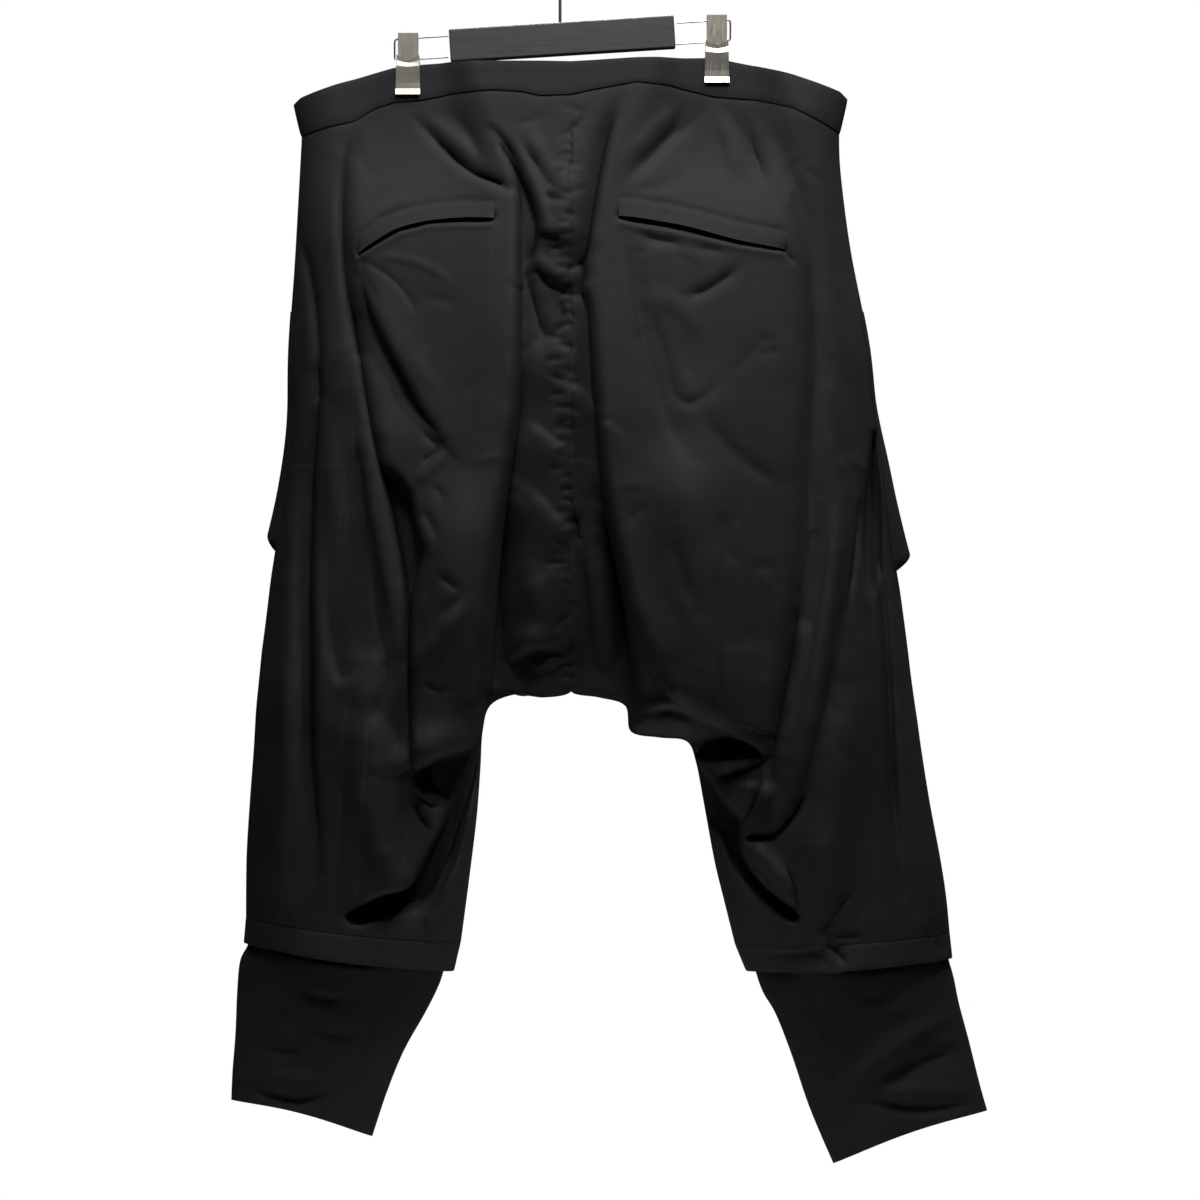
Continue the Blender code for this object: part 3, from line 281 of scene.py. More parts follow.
# The left drape's side, the hollow below its lobe, and the left leg
LEFT_SIDE = (
    Fold(-8, 9, 5, 0.2, 0.2, 0.9, "178,50 186,68 191,90 193,115 193,145 191,180 186,215 179,250"),
    Fold(-10, 7, 2.6, 0.1, 0.7, 0.5, "184,222 178,255 172,291 163,334 155,370 148,404 141,440"),
    Fold(-8, 3, 30, 0, 0.2, 0.3, "176,186 165,222 152,248 140,270 126,298 110,318"),
    Fold(3, 18, 4, 0, 0.2, 0.3, "170,186 158,222 145,248 133,270 119,298 104,318"),
    Fold(3, 3, 5, 0, 0.3, 0.2, "173,318 167,352 161,386 154,420 148,452 142,500"),
    Fold(5, 22, 4, 0, 0.1, 0.9,
         "125,362 122,386 113,410 112,424 117,440 123,462 126,487 127,510 127,550 125,588"),
    Fold(-2.5, 4, 4, 0.4, 0.2, 0.2, "124,316 116,325 107,331"),
    Fold(2, 5, 5, 0.1, 0.3, 0.2, "130,362 120,352 108,340 103,334"),
    Fold(-2.6, 4, 5, 0.2, 0.2, 0.2, "124,344 116,338 108,331"),
    Fold(-2.2, 5, 5, 0.2, 0.2, 0.2, "123,380 116,391 107,408"),
    Fold(2, 3, 4, 0.1, 0.2, 0.2, "128,386 122,400 112,416"),
    Fold(-1.8, 4, 4, 0.3, 0.2, 0.2, "113,362 107,370 103,377"),
    Fold(-2.2, 5, 4, 0.2, 0.2, 0.2, "108,436 99,444 90,452"),
    Fold(-2, 5, 4, 0.2, 0.2, 0.2, "90,452 98,462 107,473"),
    Fold(3, 5, 5, 0, 0.2, 0.4, "86,458 100,480 118,500 131,514"),
    Fold(-2.5, 5, 5, 0.2, 0.2, 0.2, "120,526 112,530 104,532"),
    Fold(1.2, 3, 3, 0.2, 0.2, 0.2, "164,169 140,171 118,178 98,193"),
    Fold(-1.6, 3, 3, 0.2, 0.5, 0.2, "176,172 158,182 143,194 131,214"),
    Fold(-1.2, 3, 4, 0.2, 0.4, 0.2, "176,174 166,196 158,214"),
    Fold(-6, 6, 6, 0.2, 0.2, 0.9, "232,144 222,172 214,214 211,252 211,285"),
    Fold(-17, 4, 13, 0, 0.3, 0.1,
         "211,270 213,321 216,347 217,398 218,436 216,500 214.5,563 213,614 210,652 209,686"),
    Fold(4, 9, 9, 0, 0.1, 0.2, "232,300 238,380 240,460 238,560 234,660"),
    Fold(3, 9, 9, 0, 0.2, 0.2, "203,300 200,350 196,400 200,450"),
    Fold(-3.5, 5, 6, 0.1, 0.2, 0.2, "153,492 154,520 160,545 168,566"),
    Fold(3, 12, 12, 0, 0.2, 0.2, "176,600 164,650 150,690"),
    Fold(15, 20, 3, 0.1, 0.5, 0.6, "132,592 115,582 100,578 86,574 76,566"),
    Fold(13, 12, 12, 0, 0.9, 0.9, "114,600 113,612"),
    Fold(-6, 3, 4, 0.2, 0.4, 0.3, "130,616 122,627 110,630 100,624"),
    Fold(-5, 3, 3, 0.4, 0.4, 0.3, "133,624 128,634 120,646"),
    Fold(4, 3, 3, 0.1, 0.3, 0.3, "127,624 120,636 113,648"),
    Fold(-8, 13, 4, 0, 0.4, 0.2, "82,606 88,632 98,658 107,682 118,705 134,718 156,725"),
    Fold(5, 3, 14, 0, 0.2, 0.5, "100,632 112,652 120,670 131,692 150,702 174,708"),
    Fold(24, 5, 5, 0, 0.2, 0.3, "77,606 81,628 86,648 92,672 99,690 107,708 118,726"),
    Fold(3, 14, 8, 0, 0.2, 0.3, "160,660 150,680 141,694"),
    Fold(-2.5, 4, 4, 0.3, 0.3, 0.3, "128,740 118,750 104,756"),
    Fold(-2, 4, 4, 0.3, 0.3, 0.3, "112,736 101,745"),
    Fold(-1.5, 3, 3, 0.2, 0.2, 0.2, "262,570 250,582"),
)
# The same on the right
RIGHT_SIDE = (
    Fold(-3.5, 14, 6, 0, 0.2, 0.2,
         "-43,150 -50,175 -55,205 -60,240 -68,270 -77,300 -88,325 -100,342"),
    Fold(-3, 4, 7, 0.2, 0.2, 0.2, "-56,150 -75,155 -96,159"),
    Fold(-1.6, 4, 5, 0.2, 0.2, 0.2, "-104,162 -130,165"),
    Fold(-4, 6, 6, 0.1, 0.2, 0.2, "-141,179 -127,190 -112,200 -95,204"),
    Fold(-1.5, 5, 7, 0.2, 0.2, 0.2,
         "-55,217 -64,214 -74,232 -81,260 -87,286 -96,295 -110,289 -122,278 -129,267"),
    Fold(1.2, 9, 9, 0, 0.2, 0.2, "-64,204 -80,206 -96,216 -112,240"),
    Fold(-1.2, 5, 5, 0.2, 0.2, 0.2, "-44,393 -56,386 -67,377"),
    Fold(-1.8, 8, 8, 0, 0.2, 0.2, "-85,405 -95,440 -103,464"),
    Fold(-2, 9, 9, 0, 0.2, 0.2, "-108,300 -128,330 -156,352 -178,360"),
    Fold(-2, 8, 8, 0, 0.2, 0.2, "-122,380 -125,410 -137,432"),
    Fold(-3, 4, 4, 0.3, 0.3, 0.2, "-178,163 -188,177"),
    Fold(-2.5, 3, 4, 0.1, 0.2, 0.2, "-123,500 -125,520 -125,545"),
    Fold(-12, 4, 13, 0, 0.2, 0.5, "-192,455 -189,485 -183,522 -177,551 -171,584 -168,606"),
    Fold(8, 9, 6, 0, 0.1, 0.5,
         "-224,346 -222,400 -216,450 -209,490 -204,524 -197,558 -188,598 -180,622 -172,643"),
    Fold(-2.5, 18, 12, 0, 0.1, 0.4, "-236,440 -228,480 -219,520 -210,560 -202,600 -193,632"),
    Fold(2.5, 4, 4, 0, 0.3, 0.3, "-167,592 -163,610 -157,630 -149,648"),
    Fold(-14, 5, 9, 0.1, 0.4, 0.1,
         "-257,322 -256,345 -257,380 -260,420 -265,470 -268,520 -270,570 -272,620 -276,670 "
         "-279,702"),
    Fold(-7, 4, 4, 0.1, 0.3, 0.1, "-247,352 -242,382 -238,412 -234,440 -231,470"),
    Fold(5, 4, 5, 0.1, 0.4, 0.2, "-52,552 -66,545 -86,543 -104,552"),
    Fold(-10, 5, 5, 0.1, 0.3, 0.3, "-64,553 -78,550 -92,551 -106,558"),
    Fold(9, 26, 3, 0, 0.3, 0.4,
         "-54,470 -60,486 -69,506 -80,526 -94,542 -110,554 -132,564 -154,577"),
    Fold(5, 4, 5, 0, 0.3, 0.2, "-113,593 -135,592 -155,588"),
    Fold(-8, 3, 3, 0.2, 0.4, 0.3, "-124,607 -136,603 -148,598 -158,594 -163,585"),
    Fold(9, 6, 20, 0, 0.4, 0.4, "-128,612 -140,614 -154,614"),
    Fold(-6, 3, 3, 0.3, 0.3, 0.3, "-158,610 -157,622 -152,634 -146,643"),
    Fold(6, 4, 4, 0.1, 0.3, 0.5, "-166,606 -160,628 -151,644 -146,656"),
    Fold(-6, 8, 7, 0, 0.3, 0.3, "-114,620 -120,645 -130,665 -142,686 -158,706 -176,719"),
    Fold(9, 10, 4, 0, 0.5, 0.5, "-148,662 -160,674 -172,687 -184,701"),
    Fold(-7, 3, 3, 0.4, 0.3, 0.5, "-179,682 -187,696 -191,710 -192,724"),
    Fold(-16, 4, 4, 0.1, 0.4, 0.6, "-147,657 -156,656 -168,656"),
    Fold(-10, 7, 4, 0.1, 0.7, 0.2, "-167,657 -180,645 -190,632 -198,616"),
    Fold(4, 12, 14, 0, 0.2, 0.2, "-205,640 -212,690 -222,730"),
    Fold(-4, 4, 4, 0.3, 0.3, 0.3, "-237,699 -226,709 -217,720 -210,733"),
    Fold(-4, 3, 3, 0.3, 0.3, 0.2, "-214,738 -228,738 -246,737"),
    Fold(4, 10, 10, 0, 0.2, 0.2, "-128,700 -138,722 -150,745"),
    Fold(4.5, 13, 3, 0, 0.4, 0.3, "-150,750 -172,749 -194,748 -219,743 -236,741"),
    Fold(-3, 3, 5, 0.1, 0.3, 0.3, "-212,734 -224,752 -232,764"),
    Fold(2.5, 4, 4, 0.1, 0.3, 0.3, "-204,736 -214,752 -220,764"),
)

# Whole areas that stand out or lie back, by high mm at the top and low mm at the
# bottom. Their edges are soft mm wide.
Plate = namedtuple("Plate", "high low soft path")
PLATES = (
    Plate(-1, -7, 6, "30,148 33,160 31,174 25,185 18,193 6,197 -6,198 -14,194 -18,180 -21,148"),
    Plate(-9, -45, 6,
         "47,196 46,210 47,240 47,290 50,320 55,350 60,380 62,405 66,435 69,460 71,500 72,530 "
         "70,562 -54,562 -56,510 -54,480 -50,455 -44,425 -36,390 -30,350 -26,300 -23,270 "
         "-20,230 -18,204 -14,194 -6,198 6,197 18,193 25,185 31,174"),
    Plate(-7, -11, 6, "60,74 51,94 47,112 46,150 47,196 34,180 26,160 28,136 36,112 47,90"),
    Plate(-42, -34, 4,
         "76,574 86,584 99,586 116,590 134,601 126,612 104,628 108,647 117,661 125,676 133,691 "
         "141,699 156,700 168,706 182,713 190,720 180,728 166,725 155,722 136,718 124,715 "
         "117,705 108,684 101,672 94,646 87,627 82,606"),
    Plate(-2, -6, 24,
         "200,290 206,380 207,470 205,530 188,560 160,560 138,590 137,520 138,460 146,410 "
         "158,352 172,290"),
    Plate(-3, -5, 9,
         "178,330 170,344 166,400 158,440 153,490 170,513 184,528 198,524 208,480 206,420 "
         "190,350"),
    Plate(-15, -15, 4,
         "161,345 154,375 148,405 141,440 137,475 135,520 134.5,596 130.5,596 130.5,520 "
         "129.5,480 127,450 118,420 121,408 127,388 131,368 143,353 152,346"),
    Plate(-9, -15, 4,
         "-50,466 -57,483 -66,504 -78,526 -91,541 -107,553 -128,563 -144,570 -112,578 -96,586 "
         "-70,584 -40,566 -40,520 -44,480"),
    Plate(-33, 0, 4,
         "-257,316 -252,340 -247,370 -244,400 -244,430 -249,470 -262,436 -264,400 -262,370 "
         "-259,340"),
    Plate(-38, -26, 5,
         "-104,588 -112,578 -124,573 -136,571 -150,574 -161,584 -154,589 -140,588 -126,588 "
         "-114,590"),
    Plate(-34, -26, 5,
         "-108,600 -121,612 -130,627 -144,640 -144,653 -143,666 -152,684 -164,697 -178,708 "
         "-188,713 -192,722 -186,727 -167,715 -149,696 -136,678 -130,658 -119,644 -114,631"),
)

# The single-welt back pockets: the welt's lower and upper edges, and the mouth's height
Welt = namedtuple("Welt", "x mouth top gape")
LEFT_WELT = (
    Welt(64, 136.5, 123.5, 2.0),
    Welt(78, 136, 122.5, 3.6),
    Welt(91, 136, 122, 3.0),
    Welt(118, 138.5, 124.5, 1.8),
    Welt(144, 145, 130.5, 2.2),
    Welt(162, 155, 139, 3.0),
    Welt(178, 166.5, 152, 1.6),
)
RIGHT_WELT = (
    Welt(-40, 134.5, 119.5, 1.4),
    Welt(-55, 136, 120.5, 3.8),
    Welt(-80, 140, 124.5, 3.6),
    Welt(-103, 145, 129.5, 4.2),
    Welt(-139, 155, 140, 2.8),
    Welt(-180, 163, 149, 1.6),
)

Cuff = namedtuple("Cuff", "inner_x inner_drop outer_x outer_drop back front")
LEFT_CUFF = (
    Cuff(106, 757, 273.5, 736, 33, 27),
    Cuff(108, 771, 274.5, 749, 32, 26),
    Cuff(113, 786, 281.5, 764, 28, 23),
    Cuff(124, 808, 284, 790, 22, 18),
    Cuff(142, 840, 285.5, 826, 17, 14),
    Cuff(156, 874, 288, 858, 14, 11),
    Cuff(169, 913, 289, 882, 11, 9),
)
RIGHT_CUFF = (
    Cuff(-154, 757, -318.5, 746, 32, 27),
    Cuff(-156.5, 771, -320.5, 760, 31, 26),
    Cuff(-163, 790, -325.5, 778, 27, 23),
    Cuff(-174, 809, -330, 800, 22, 18),
    Cuff(-187, 842, -338, 830, 17, 14),
    Cuff(-203, 889, -347.5, 868, 14, 11),
    Cuff(-223, 936, -354, 891, 11, 9),
)
# Soft creases in the cuffs
CUFF_CREASES = (
    Fold(2.4, 10, 7, 0, 0.3, 0.2, "264,790 238,800 206,806"),
    Fold(-3, 7, 5, 0.1, 0.3, 0.2, "226,820 198,827 176,824"),
    Fold(2.5, 8, 7, 0, 0.2, 0.2, "268,856 236,864 208,860"),
    Fold(-5.5, 4, 6, 0.2, 0.2, 0.2, "276,869 250,877 229,881 204,873"),
    Fold(-3.5, 5, 4, 0.2, 0.2, 0.2, "266,834 244,841 226,836"),
    Fold(-3, 4, 5, 0.2, 0.3, 0.2, "224,786 206,794 192,792"),
    Fold(-2, 2.6, 3, 0.3, 0.6, 0.4, "168,806 176,846 185,884"),
    Fold(-2, 3, 3, 0.3, 0.6, 0.4, "-200,776 -214,817 -226,867 -239,908"),
    Fold(5, 12, 5, 0, 0.3, 0.3, "-224,880 -261,846 -297,821 -330,806"),
    Fold(-6, 6, 13, 0, 0.2, 0.2, "-258,868 -280,852 -306,842 -338,838"),
    Fold(3, 5, 5, 0, 0.2, 0.2, "-262,874 -298,870 -340,872"),
    Fold(-5.5, 5, 6, 0.2, 0.3, 0.2, "-244,878 -290,888 -346,884"),
    Fold(2, 8, 8, 0, 0.2, 0.2, "-236,796 -266,804 -300,798"),
    Fold(-1.5, 5, 4, 0.2, 0.2, 0.2, "-178,820 -196,826 -208,822"),
    Fold(-7, 4, 6, 0.3, 0.1, 0, "150,764 186,760 214,756 244,752 270,748"),
    Fold(-6, 4, 6, 0.2, 0.2, 0, "-222,767 -250,764 -282,761 -314,758"),
    Fold(-5, 4, 5, 0.2, 0.3, 0, "-160,772 -176,772 -192,770"),
)

# What differs between the two halves. hem_stand is where the hem band's lower edge
# stands off the cuff, the width of that place and how far. hem_wave shifts the band's
# ripples. allowance is the seam allowance's edge beside the centre seam, and the last
# two are the side pocket's lower edge and how far its corner stands out.
Side = namedtuple(
    "Side",
    "sign rows hem cuff welt hem_stand hem_wave allowance panel_width pocket_low pocket_reach",
)
SIDES = {
    "left": Side(1, LEFT_ROWS, LEFT_HEM, LEFT_CUFF, LEFT_WELT,
                 (196, 34, 2.5), 1.2, -1.6, 0.30, 415, 8.0),
    "right": Side(-1, RIGHT_ROWS, RIGHT_HEM, RIGHT_CUFF, RIGHT_WELT,
                  (-228, 30, 4.5), 2.6, 0.5, 0.34, 432, 13.0),
}
FACES = {"back": 1, "front": -1}


def drawn(rows):
    """The rows with each path, which is written as x,drop pairs, made its points."""
    points = ([pair.split(",") for pair in row.path.split()] for row in rows)
    return [row._replace(path=np.array(path, float)) for row, path in zip(rows, points)]


BACK_FOLDS = drawn(VALLEY + DRAG_LINES + LEFT_SIDE + RIGHT_SIDE)
BACK_PLATES = drawn(PLATES)
CUFF_FOLDS = drawn(CUFF_CREASES)


def at_x(x, table, name):
    """One column of the table at each x."""
    rows = sorted((row.x, getattr(row, name)) for row in table)
    return np.interp(x, *np.array(rows, float).T)


def smooth(table, at):
    """The table's columns at fractional rows, on a smooth curve through its rows."""
    rows = np.array(table, float)
    at = np.clip(np.asarray(at, float), 0, len(rows) - 1)
    first = np.minimum(at.astype(int), len(rows) - 2)
    f = (at - first)[:, None]
    a, b = rows[first], rows[first + 1]
    before = rows[np.maximum(first - 1, 0)]
    after = rows[np.minimum(first + 2, len(rows) - 1)]
    cubic = (3 * a - 3 * b + after - before) * f**3
    square = (2 * before - 5 * a + 4 * b - after) * f**2
    return 0.5 * (2 * a + (b - before) * f + square + cubic)


def edge_rows(table, at):
    """Inner and outer edge points, with the centre seam kept on x = 0."""
    rows = smooth(table, at)
    side = np.sign(table[0].outer_x)
    rows[:, 0] = side * np.maximum(side * rows[:, 0], 0)
    rows[np.asarray(at) <= CROTCH_ROW, 0] = 0
    return rows


def even_steps(table, start, end, steps):
    """Fractional rows from start to end, about evenly spaced along both edges."""
    at = np.linspace(start, end, 400)
    rows = edge_rows(table, at)
    inner = np.hypot(*np.diff(rows[:, :2], axis=0).T)
    outer = np.hypot(*np.diff(rows[:, 2:], axis=0).T)
    length = np.append(0, np.cumsum(inner + outer))
    return np.interp(np.linspace(0, length[-1], steps + 1), length, at)


def edge_paths(side):
    """The outer and the inner edge of one half as lines of (x, drop)."""
    outer = edge_rows(side.rows, np.linspace(0, len(side.rows) - 1, 80))[:, 2:]
    inner = edge_rows(side.rows, np.linspace(CROTCH_ROW, len(side.rows) - 1, 60))[:, :2]
    waist_corner = [side.sign * WAIST_HALF, 30]
    outer = np.vstack((waist_corner, outer, (side.hem.outer_x, side.hem.outer_drop)))
    return outer, np.vstack((inner, (side.hem.inner_x, side.hem.inner_drop)))


EDGES = {name: edge_paths(side) for name, side in SIDES.items()}


def nearest(points, path):
    """Distance from each point to the path, its side, and the share of the path before it."""
    steps = np.diff(path, axis=0)
    lengths = np.hypot(*steps.T)
    starts = np.append(0, np.cumsum(lengths))
    best = np.full(len(points), 1e9)
    side = np.zeros(len(points))
    share = np.zeros(len(points))
    for a, step, length, start in zip(path, steps, lengths, starts):
        offset = points - a
        along = np.clip(offset @ step / length**2, 0, 1)
        away = np.hypot(*(offset - along[:, None] * step).T)
        nearer = away < best
        best[nearer] = away[nearer]
        side[nearer] = (step[0] * offset[:, 1] - step[1] * offset[:, 0])[nearer]
        share[nearer] = (start + along[nearer] * length) / starts[-1]
    return best, side, share


def ease(value):
    """0 below 0 and 1 above 1, with a soft step between them."""
    value = np.clip(value, 0, 1)
    return value * value * (3 - 2 * value)


def bell(offset, width):
    """1 at no offset, falling softly to 0 beyond the width."""
    return np.exp(-((offset / width) ** 2))


def rounded(path):
    """The path with its corners cut twice."""
    for _ in range(2):
        quarter = 0.75 * path[:-1] + 0.25 * path[1:]
        three = 0.25 * path[:-1] + 0.75 * path[1:]
        middle = np.stack((quarter, three), axis=1).reshape(-1, 2)
        path = np.vstack((path[:1], middle[1:-1], path[-1:]))
    return path


def within_reach(points, path, reach):
    """Which points lie no farther than reach outside the path's box."""
    low, high = path.min(axis=0) - reach, path.max(axis=0) + reach
    return np.flatnonzero(((points > low) & (points < high)).all(axis=1))


def fold_field(points, folds):
    """How far the folds push the cloth out at each point."""
    push = np.zeros(len(points))
    for fold in folds:
        path = rounded(np.array(fold.path, float))
        near = within_reach(points, path, FOLD_REACH * max(fold.right, fold.left))
        if not len(near):
            continue
        away, side, share = nearest(points[near], path)
        # q counts half-widths from the path, and both profiles are 1 on it
        q = away / np.where(side > 0, fold.right, fold.left)
        soft = np.exp(-ROLL_FALL * q**2)
        sharp = np.exp(-CREASE_FALL * (np.sqrt(q**2 + CREASE_TIP) - TIP_ROOT))
        ends = np.minimum(
            fold.start + (1 - fold.start) * ease(share / FOLD_END),
            fold.end + (1 - fold.end) * ease((1 - share) / FOLD_END),
        )
        push[near] += fold.push * ((1 - fold.crisp) * soft + fold.crisp * sharp) * ends
    return push


def inside_outline(points, path):
    """Which points the closed path goes round."""
    x, drop = points.T
    inside = np.zeros(len(points), bool)
    for a, b in zip(path[:-1], path[1:]):
        if a[1] != b[1]:
            crossed = (a[1] > drop) != (b[1] > drop)
            inside ^= crossed & (x < a[0] + (drop - a[1]) * (b[0] - a[0]) / (b[1] - a[1]))
    return inside


def plate_field(points, plates):
    """How far the plates push the cloth out at each point."""
    push = np.zeros(len(points))
    for plate in plates:
        path = rounded(np.vstack((plate.path, plate.path[:1])))
        near = within_reach(points, path, plate.soft)
        away = nearest(points[near], path)[0]
        signed = np.where(inside_outline(points[near], path), away, -away)
        within = ease(0.5 + signed / (2 * plate.soft) * 1.6)
        down = np.clip((points[near, 1] - path[:, 1].min()) / np.ptp(path[:, 1]), 0, 1)
        push[near] += (plate.high + down * (plate.low - plate.high)) * within
    return push


def inner_and_outer_x(drop, outer, inner):
    """Where the two edges of a half are at each drop."""
    rising = np.maximum.accumulate(inner[:, 1])
    inside = np.where(drop < rising[0], 0, np.interp(drop, rising, inner[:, 0]))
    return inside, np.interp(drop, outer[:, 1], outer[:, 0])


def mirrored(points):
    """Each point's counterpart on the other half, at the same share of its width."""
    x, drop = points.T
    left = inner_and_outer_x(drop, *EDGES["left"])
    right = inner_and_outer_x(drop, *EDGES["right"])
    from_left = (x - left[0]) / (left[1] - left[0])
    from_right = (x - right[0]) / (right[1] - right[0])
    to_right = right[0] + from_left * (right[1] - right[0])
    to_left = left[0] + from_right * (left[1] - left[0])
    return np.stack((np.where(x > 0, to_right, to_left), drop), axis=1)


def pucker_folds():
    """Short troughs beside the centre seam, drawn in by its stitching."""
    chance = random.Random(11)
    folds = []
    drop = SEAM_TOP + 3.0
    while drop < CROTCH_DROP - 14:
        start = chance.choice((0, 0, 4, 7))
        reach = start + chance.uniform(5, 16)
        turn = chance.uniform(-5, 7)
        path = ((start, drop), (0.5 * (start + reach), drop + 0.1 * turn), (reach, drop + turn))
        push = -chance.uniform(0.7, 2.6)
        folds.append(Fold(push, 2.0, chance.uniform(2, 4), 0.1, 0.9, 0.1, path))
        if chance.random() < 0.45:
            path = ((-0.5, drop + 2), (-0.3 * reach, drop + 3), (-0.6 * reach, drop + 3 + turn))
            folds.append(Fold(-chance.uniform(0.4, 1.6), 2.0, 2.4, 0.1, 0.8, 0.1, path))
        drop += chance.uniform(5, 12)
    return folds


def fine_creases():
    """Faint creases all over the cloth, mostly falling away from the waist."""
    chance = random.Random(5)
    folds = []
    for _ in range(CREASES):
        x = chance.uniform(-300, 275)
        drop = chance.uniform(60, 735)
        lean = chance.gauss(0, 0.9)
        length = chance.uniform(14, 46)
        bend = chance.uniform(-5, 5)
        dx, dd = length * math.sin(lean), length * math.cos(lean)
        path = ((x, drop), (x + 0.5 * dx + bend, drop + 0.5 * dd), (x + dx, drop + dd))
        push = chance.choice((-1, 1)) * chance.uniform(0.3, 0.95)
        right, left = chance.uniform(3.5, 8), chance.uniform(3.5, 8)
        folds.append(Fold(push, right, left, 0.1, 0.1, 0.1, path))
    return folds


PUCKERS = pucker_folds()
FINE_CREASES = fine_creases()


def settle(field):
    """Draws each inner value of the field halfway to its four neighbours."""
    near = field[:-2, 1:-1] + field[2:, 1:-1] + field[1:-1, :-2] + field[1:-1, 2:]
    field[1:-1, 1:-1] = 0.5 * field[1:-1, 1:-1] + 0.125 * near
    return field


def pocket_mouths(x, drop):
    """The dip of each back pocket's mouth, just below its welt."""
    push = np.zeros(len(x))
    for side in SIDES.values():
        low, high = sorted((side.welt[0].x, side.welt[-1].x))
        mouth, top, gape = (at_x(x, side.welt, name) for name in ("mouth", "top", "gape"))
        inside = ease((x - low + 2) / 5) * ease((high + 2 - x) / 5)
        below = drop - mouth
        push -= MOUTH_DEPTH * inside * np.exp(-((below / np.where(below < 0, 5, gape)) ** 4))
        push += MOUTH_LIP * inside * bell(below - gape - 3, 3)
        push -= WELT_DENT * inside * bell(drop - top + 1.4, 2.2)
    return push


def overhang(x, drop, relief, hold):
    """How far the folds lean out over the troughs beside them, in x and in drop."""
    across = [np.gradient(field, axis=1) for field in (x, drop, relief)]
    down = [np.gradient(field, axis=0) for field in (x, drop, relief)]
    area = across[0] * down[1] - across[1] * down[0]
    slope_x = (across[2] * down[1] - across[1] * down[2]) / area
    slope_drop = (across[0] * down[2] - across[2] * down[0]) / area
    steep = LEAN * np.hypot(slope_x, slope_drop)
    reach = -LEAN * hold / np.sqrt(1 + (steep / MOST_LEAN) ** 2)
    return settle(reach * slope_x), settle(reach * slope_drop)


def depth_levels(drop):
    """The columns of DEPTHS at each drop, averaged over a short length."""
    table = np.array(DEPTHS, float)
    near = drop + np.array((-36, -18, 0, 18, 36))[:, None]
    return [np.interp(near, table[:, 0], values).mean(axis=0) for values in table[:, 1:].T]


def clip_hold(x, drop):
    """How flat the clips press the cloth: 1 under a clip, and 0 well away from both."""
    held = np.zeros(len(x))
    for clip_x in CLIP_XS:
        fade = CLIP_SIDE + CLIP_SPREAD * np.maximum(drop, 0)
        beside = (np.abs(x - clip_x) - CLIP_HALF) / fade
        held += (1 - ease(beside)) * (1 - ease((drop - CLIP_GRIP) / CLIP_FADE))
    return np.clip(held, 0, 1)


def edge_closing(points, outer_round, inner_round):
    """1 on the flat of the cloth, falling to 0 where the back meets the front."""
    close = np.ones(len(points))
    for edge, reach in ((0, outer_round), (1, inner_round)):
        away = np.minimum(*(nearest(points, paths[edge])[0] for paths in EDGES.values()))
        q = np.clip(away / reach, 0, 1)
        close = close * (q * (2 - q)) ** EDGE_SHAPE
    return close


def cloth(face, x, drop, part):
    """Points of the outer surface of a panel, band, hem or welt, on the back or the front."""
    shape = np.shape(x)
    points = np.stack((np.ravel(x), np.ravel(drop)), axis=1).astype(float)
    x, drop = points.T
    back, front, outer_round, inner_round = depth_levels(drop)
    depth = back if face == "back" else front
    depth = WAIST_STANDOFF + (depth - WAIST_STANDOFF) * (1 - clip_hold(x, drop))
    close = edge_closing(points, outer_round, inner_round)
    on_back = points if face == "back" else mirrored(points)
    push = fold_field(on_back, BACK_FOLDS + FINE_CREASES) + plate_field(on_back, BACK_PLATES)
    push *= bpy.context.scene.trouser_cloth.fold_depth
    grown = ease((drop - at_x(x, WAIST_LINE, "seam")) / FOLD_FADE)
    share = (1 if face == "back" else FRONT_FOLD_SHARE) * np.sqrt(close)
    relief = push * (share * (FOLDS_AT_SEAM + (1 - FOLDS_AT_SEAM) * grown))
    y = np.maximum(depth * close + relief, WAIST_STANDOFF * np.minimum(close * 4, 1))
    on_seam = ease((drop - SEAM_TOP) / 30) * ease((CROTCH_DROP - drop) / 12)
    y = y + on_seam * (fold_field(points, PUCKERS) - SEAM_DENT * bell(x, SEAM_DENT_WIDTH))
    if face == "back" and part != "welt":
        y = y + pocket_mouths(x, drop)
    if part == "panel":
        hold = close**2 * grown * ease(np.abs(x) / 6) * ease((LEAN_BOTTOM - drop) / 20)
        lean = overhang(*(field.reshape(shape) for field in (x, drop, relief, hold)))
        x, drop = x + lean[0].ravel(), drop + lean[1].ravel()
    if part != "welt":
        sway = sum(height * np.sin(drop / length + start) for height, length, start in SWAYS)
        x = x + on_seam * sway * bell(x, SWAY_WIDTH)
    return np.stack((x, FACES[face] * y, -drop - WAIST_BELOW_HOOK), axis=1).reshape(*shape, 3)


def columns(steps, both_ends):
    """Shares of the width from the inner to the outer edge, closer together at the edges."""
    even = np.arange(steps + 1) / steps
    if both_ends:
        return 0.5 * even + 0.5 * (0.5 - 0.5 * np.cos(np.pi * even))
    return 0.55 * even + 0.45 * np.sin(0.5 * np.pi * even)


